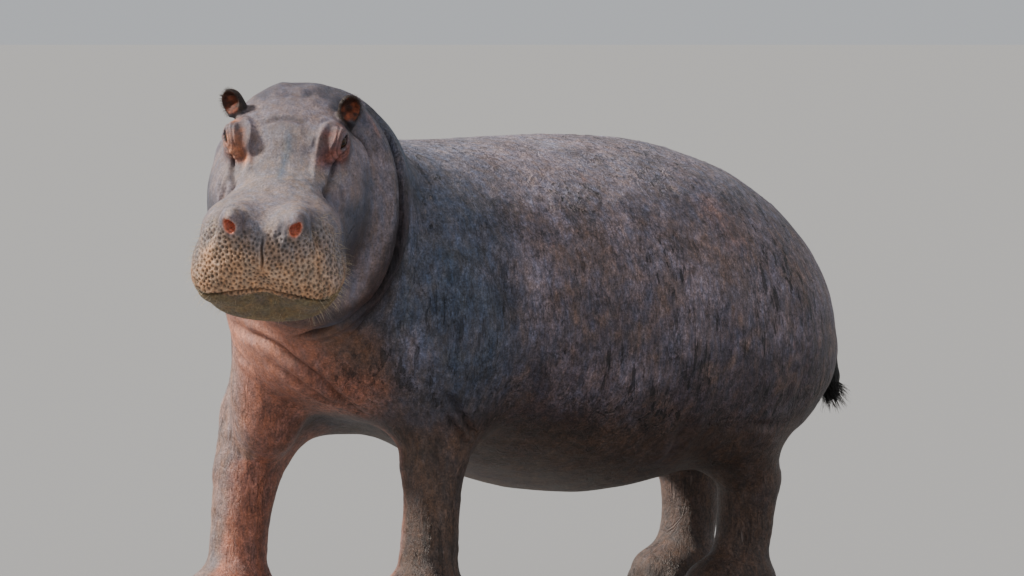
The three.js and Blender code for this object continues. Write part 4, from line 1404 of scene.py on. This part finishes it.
def makeHair(name, roots, ways, longer):
    form = hairForm[name]
    count, corners = len(roots), hairRows * hairSides
    length = rng.uniform(*form["length"], count) + form["longer"] * longer * rng.uniform(0.5, 1, count)
    ways = unit(ways + 0.35 * rng.normal(size=(count, 3)))
    sag = np.array((0, 0, -form["droop"])) * rng.uniform(0.3, 1.2, (count, 1))
    t = np.linspace(0, 1, hairRows)[None, :, None]
    bend = ways[:, None] * (t - 0.04) + sag[:, None] * t**2
    course = skinPoints[roots][:, None] + mm * length[:, None, None] * bend
    across = unit(np.cross(ways, rng.normal(size=(count, 3))))
    other = np.cross(ways, across)
    turn = np.arange(hairSides) * 2 * math.pi / hairSides
    ring = across[:, None] * np.cos(turn)[:, None] + other[:, None] * np.sin(turn)[:, None]
    thin = form["radius"] * mm * (1 - 0.94 * t[..., None]) * rng.uniform(0.7, 1.2, (count, 1, 1, 1))
    points = (course[:, :, None] + thin * ring[:, None]).reshape(-1, 3)
    r, s = np.meshgrid(np.arange(hairRows - 1), np.arange(hairSides), indexing="ij")
    low, after = r * hairSides, (s + 1) % hairSides
    quads = np.stack([low + s, low + after, low + hairSides + after, low + hairSides + s], axis=-1)
    quads = quads.reshape(1, -1, 4) + (np.arange(count) * corners)[:, None, None]
    hair = meshPiece(name, points, quads.reshape(-1, 4))
    own = np.stack(np.divmod(np.arange(corners), hairSides), axis=1) / (hairRows, hairSides)
    places = (skinPlaces[roots][:, None] + own * layoutForm["tuft"]).reshape(-1, 2)
    storeLayout(hair.data, places[readFrom(hair.data.loops, "vertex_index", np.int32)])
    tipward = np.tile(np.repeat(np.linspace(0, 1, hairRows), hairSides), count)[:, None]
    tint = linear(form["colour"]) * (1 - tipward) + linear(form["tip"]) * tipward
    storeColours(hair, "tint", tint * np.repeat(rng.uniform(0.6, 1.3, count), corners)[:, None])
    hair.data.materials.append(hairPaint)
    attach(hair, "root")
    report(f"{name}: {count} bristles")


def makeHairPaint():
    material, node, surface, spread = startMaterial("bristle")
    tint = node("Attribute", "Color", {"attribute_name": "tint"})
    place = node("TexCoord", "Object")
    flecks = node("TexNoise", "Fac", Vector=place, Scale=600, Detail=2, Roughness=0.5)
    shade = spread(flecks, 0.3, 0.7, 0.8, 1.2)
    surface(
        Base_Color=node("VectorMath", "Vector", {"operation": "SCALE"}, Vector=tint, Scale=shade),
        Roughness=spread(flecks, 0, 1, 0.38, 0.58),
    )
    return material


def muzzleBristles():
    q = where["head"][pitSpots]
    beside = ramp(np.abs(q[:, 0]), 90, 170)
    chosen = rng.random(len(q)) < 0.14 + 0.34 * beside
    roots, q, beside = pitSpots[chosen], q[chosen], beside[chosen]
    lean = np.stack([0.7 * np.sign(q[:, 0]) * beside, np.full(len(q), 0.25), np.full(len(q), -0.35)], axis=1)
    ways = hairForm["muzzleHair"]["stand"] * skinNormals[roots] + lean @ head["axes"].T
    makeHair("muzzleHair", roots, ways, beside)


def earBristles():
    roots, ways = [], []
    for side in (1, -1):
        own = earFrame(side)
        a, shell, hollow = inEar(own)
        rim = (shell < 1.25) & (hollow > 0.98) & (hollow < 1.3) & (a[:, 1] < 4) & (a[:, 2] > -34)
        inside = (shell < 1.1) & (hollow <= 1.0)
        chance = np.where(rim, 0.5, np.where(inside, 0.16, 0))
        found = np.flatnonzero(rng.random(len(a)) < chance)
        out = (a * (1, 0, 1) - (0, 8, 0))[found]
        roots.append(found)
        ways.append(unit(out) @ own["axes"].T)
    roots, ways = np.concatenate(roots), np.concatenate(ways)
    makeHair("earHair", roots, hairForm["earHair"]["stand"] * ways + 0.4 * skinNormals[roots], 0)


def tailBristles():
    b, form = where["body"], hairForm["tailHair"]
    onTip = (b[:, 1] > 1205) & (np.abs(b[:, 0] - 80) < 60) & (b[:, 2] < form["below"])
    roots, count = np.flatnonzero(onTip), form["count"]
    roots = rng.choice(roots, min(len(roots), count), replace=len(roots) < count)
    lean = np.stack([0.9 * np.sign(b[roots, 0]), np.zeros(len(roots)), np.full(len(roots), -0.9)], axis=1)
    makeHair("tailHair", roots, form["stand"] * skinNormals[roots] + lean @ body["axes"].T, 0)


hairPaint = makeHairPaint()
muzzleBristles()
earBristles()
tailBristles()


# A far camera at the height of a person's eyes, ahead of the animal's left side.
cameraForm = {  # metres and degrees; it looks a little aside of the animal and down
    "turn": 48, "away": 26, "height": 1.8, "lens": 301.6, "aside": 0.0267, "down": 1.7891,
}


def addCamera():
    turn = math.radians(cameraForm["turn"])
    data = bpy.data.cameras.new("camera")
    data.lens = cameraForm["lens"]
    data.sensor_width = 36
    data.clip_end = 2000
    camera = bpy.data.objects.new("camera", data)
    bpy.context.scene.collection.objects.link(camera)
    bpy.context.scene.camera = camera
    way = np.array((math.sin(turn), -math.cos(turn), 0))
    camera.location = body["origin"] + cameraForm["away"] * way + (0, 0, cameraForm["height"])
    aside, down = math.radians(cameraForm["aside"]), math.radians(cameraForm["down"])
    camera.rotation_euler = (math.pi / 2 - down, 0, turn + aside)


stageForm = {  # metres; colours as the light has them
    "radius": 600, "corners": 128, "floor": (0.268, 0.272, 0.279, 1), "floorRoughness": 0.9,
    "sky": (0.93, 0.96, 1, 1), "skyStrength": 0.54,
}


def addStage():
    turn = np.linspace(0, 2 * math.pi, stageForm["corners"], endpoint=False)
    rim = np.stack([np.cos(turn), np.sin(turn), 0 * turn], axis=1) * stageForm["radius"]
    floor = meshPiece("floor", rim, [list(range(len(rim)))], False)
    material, _, surface, _ = startMaterial("floor")
    surface(Base_Color=stageForm["floor"], Roughness=stageForm["floorRoughness"])
    floor.data.materials.append(material)
    world = bpy.data.worlds.new("studio")
    bpy.context.scene.world = world
    world.use_nodes = True
    sky = world.node_tree.nodes["Background"]
    sky.inputs["Color"].default_value = stageForm["sky"]
    sky.inputs["Strength"].default_value = stageForm["skyStrength"]


lamps = {  # kind, where it stands, strength, colour and width; all aim at the middle of the body
    "keyLight": dict(kind="SUN", at=(-6.4, -5.8, 8), power=6.9, colour=(1, 0.93, 0.84), width=0.14),
    "fillLight": dict(kind="AREA", at=(8, -4, 3), power=105, colour=(0.8, 0.9, 1), width=6),
}


def addLamps():
    middle = Vector((0, 0, 0.85))
    for name, lamp in lamps.items():
        data = bpy.data.lights.new(name, lamp["kind"])
        data.energy, data.color = lamp["power"], lamp["colour"]
        setattr(data, "angle" if lamp["kind"] == "SUN" else "size", lamp["width"])
        light = bpy.data.objects.new(name, data)
        bpy.context.scene.collection.objects.link(light)
        light.location = lamp["at"]
        light.rotation_euler = (middle - light.location).to_track_quat("-Z", "Y").to_euler()


addCamera()
addStage()
addLamps()
report("stage set")
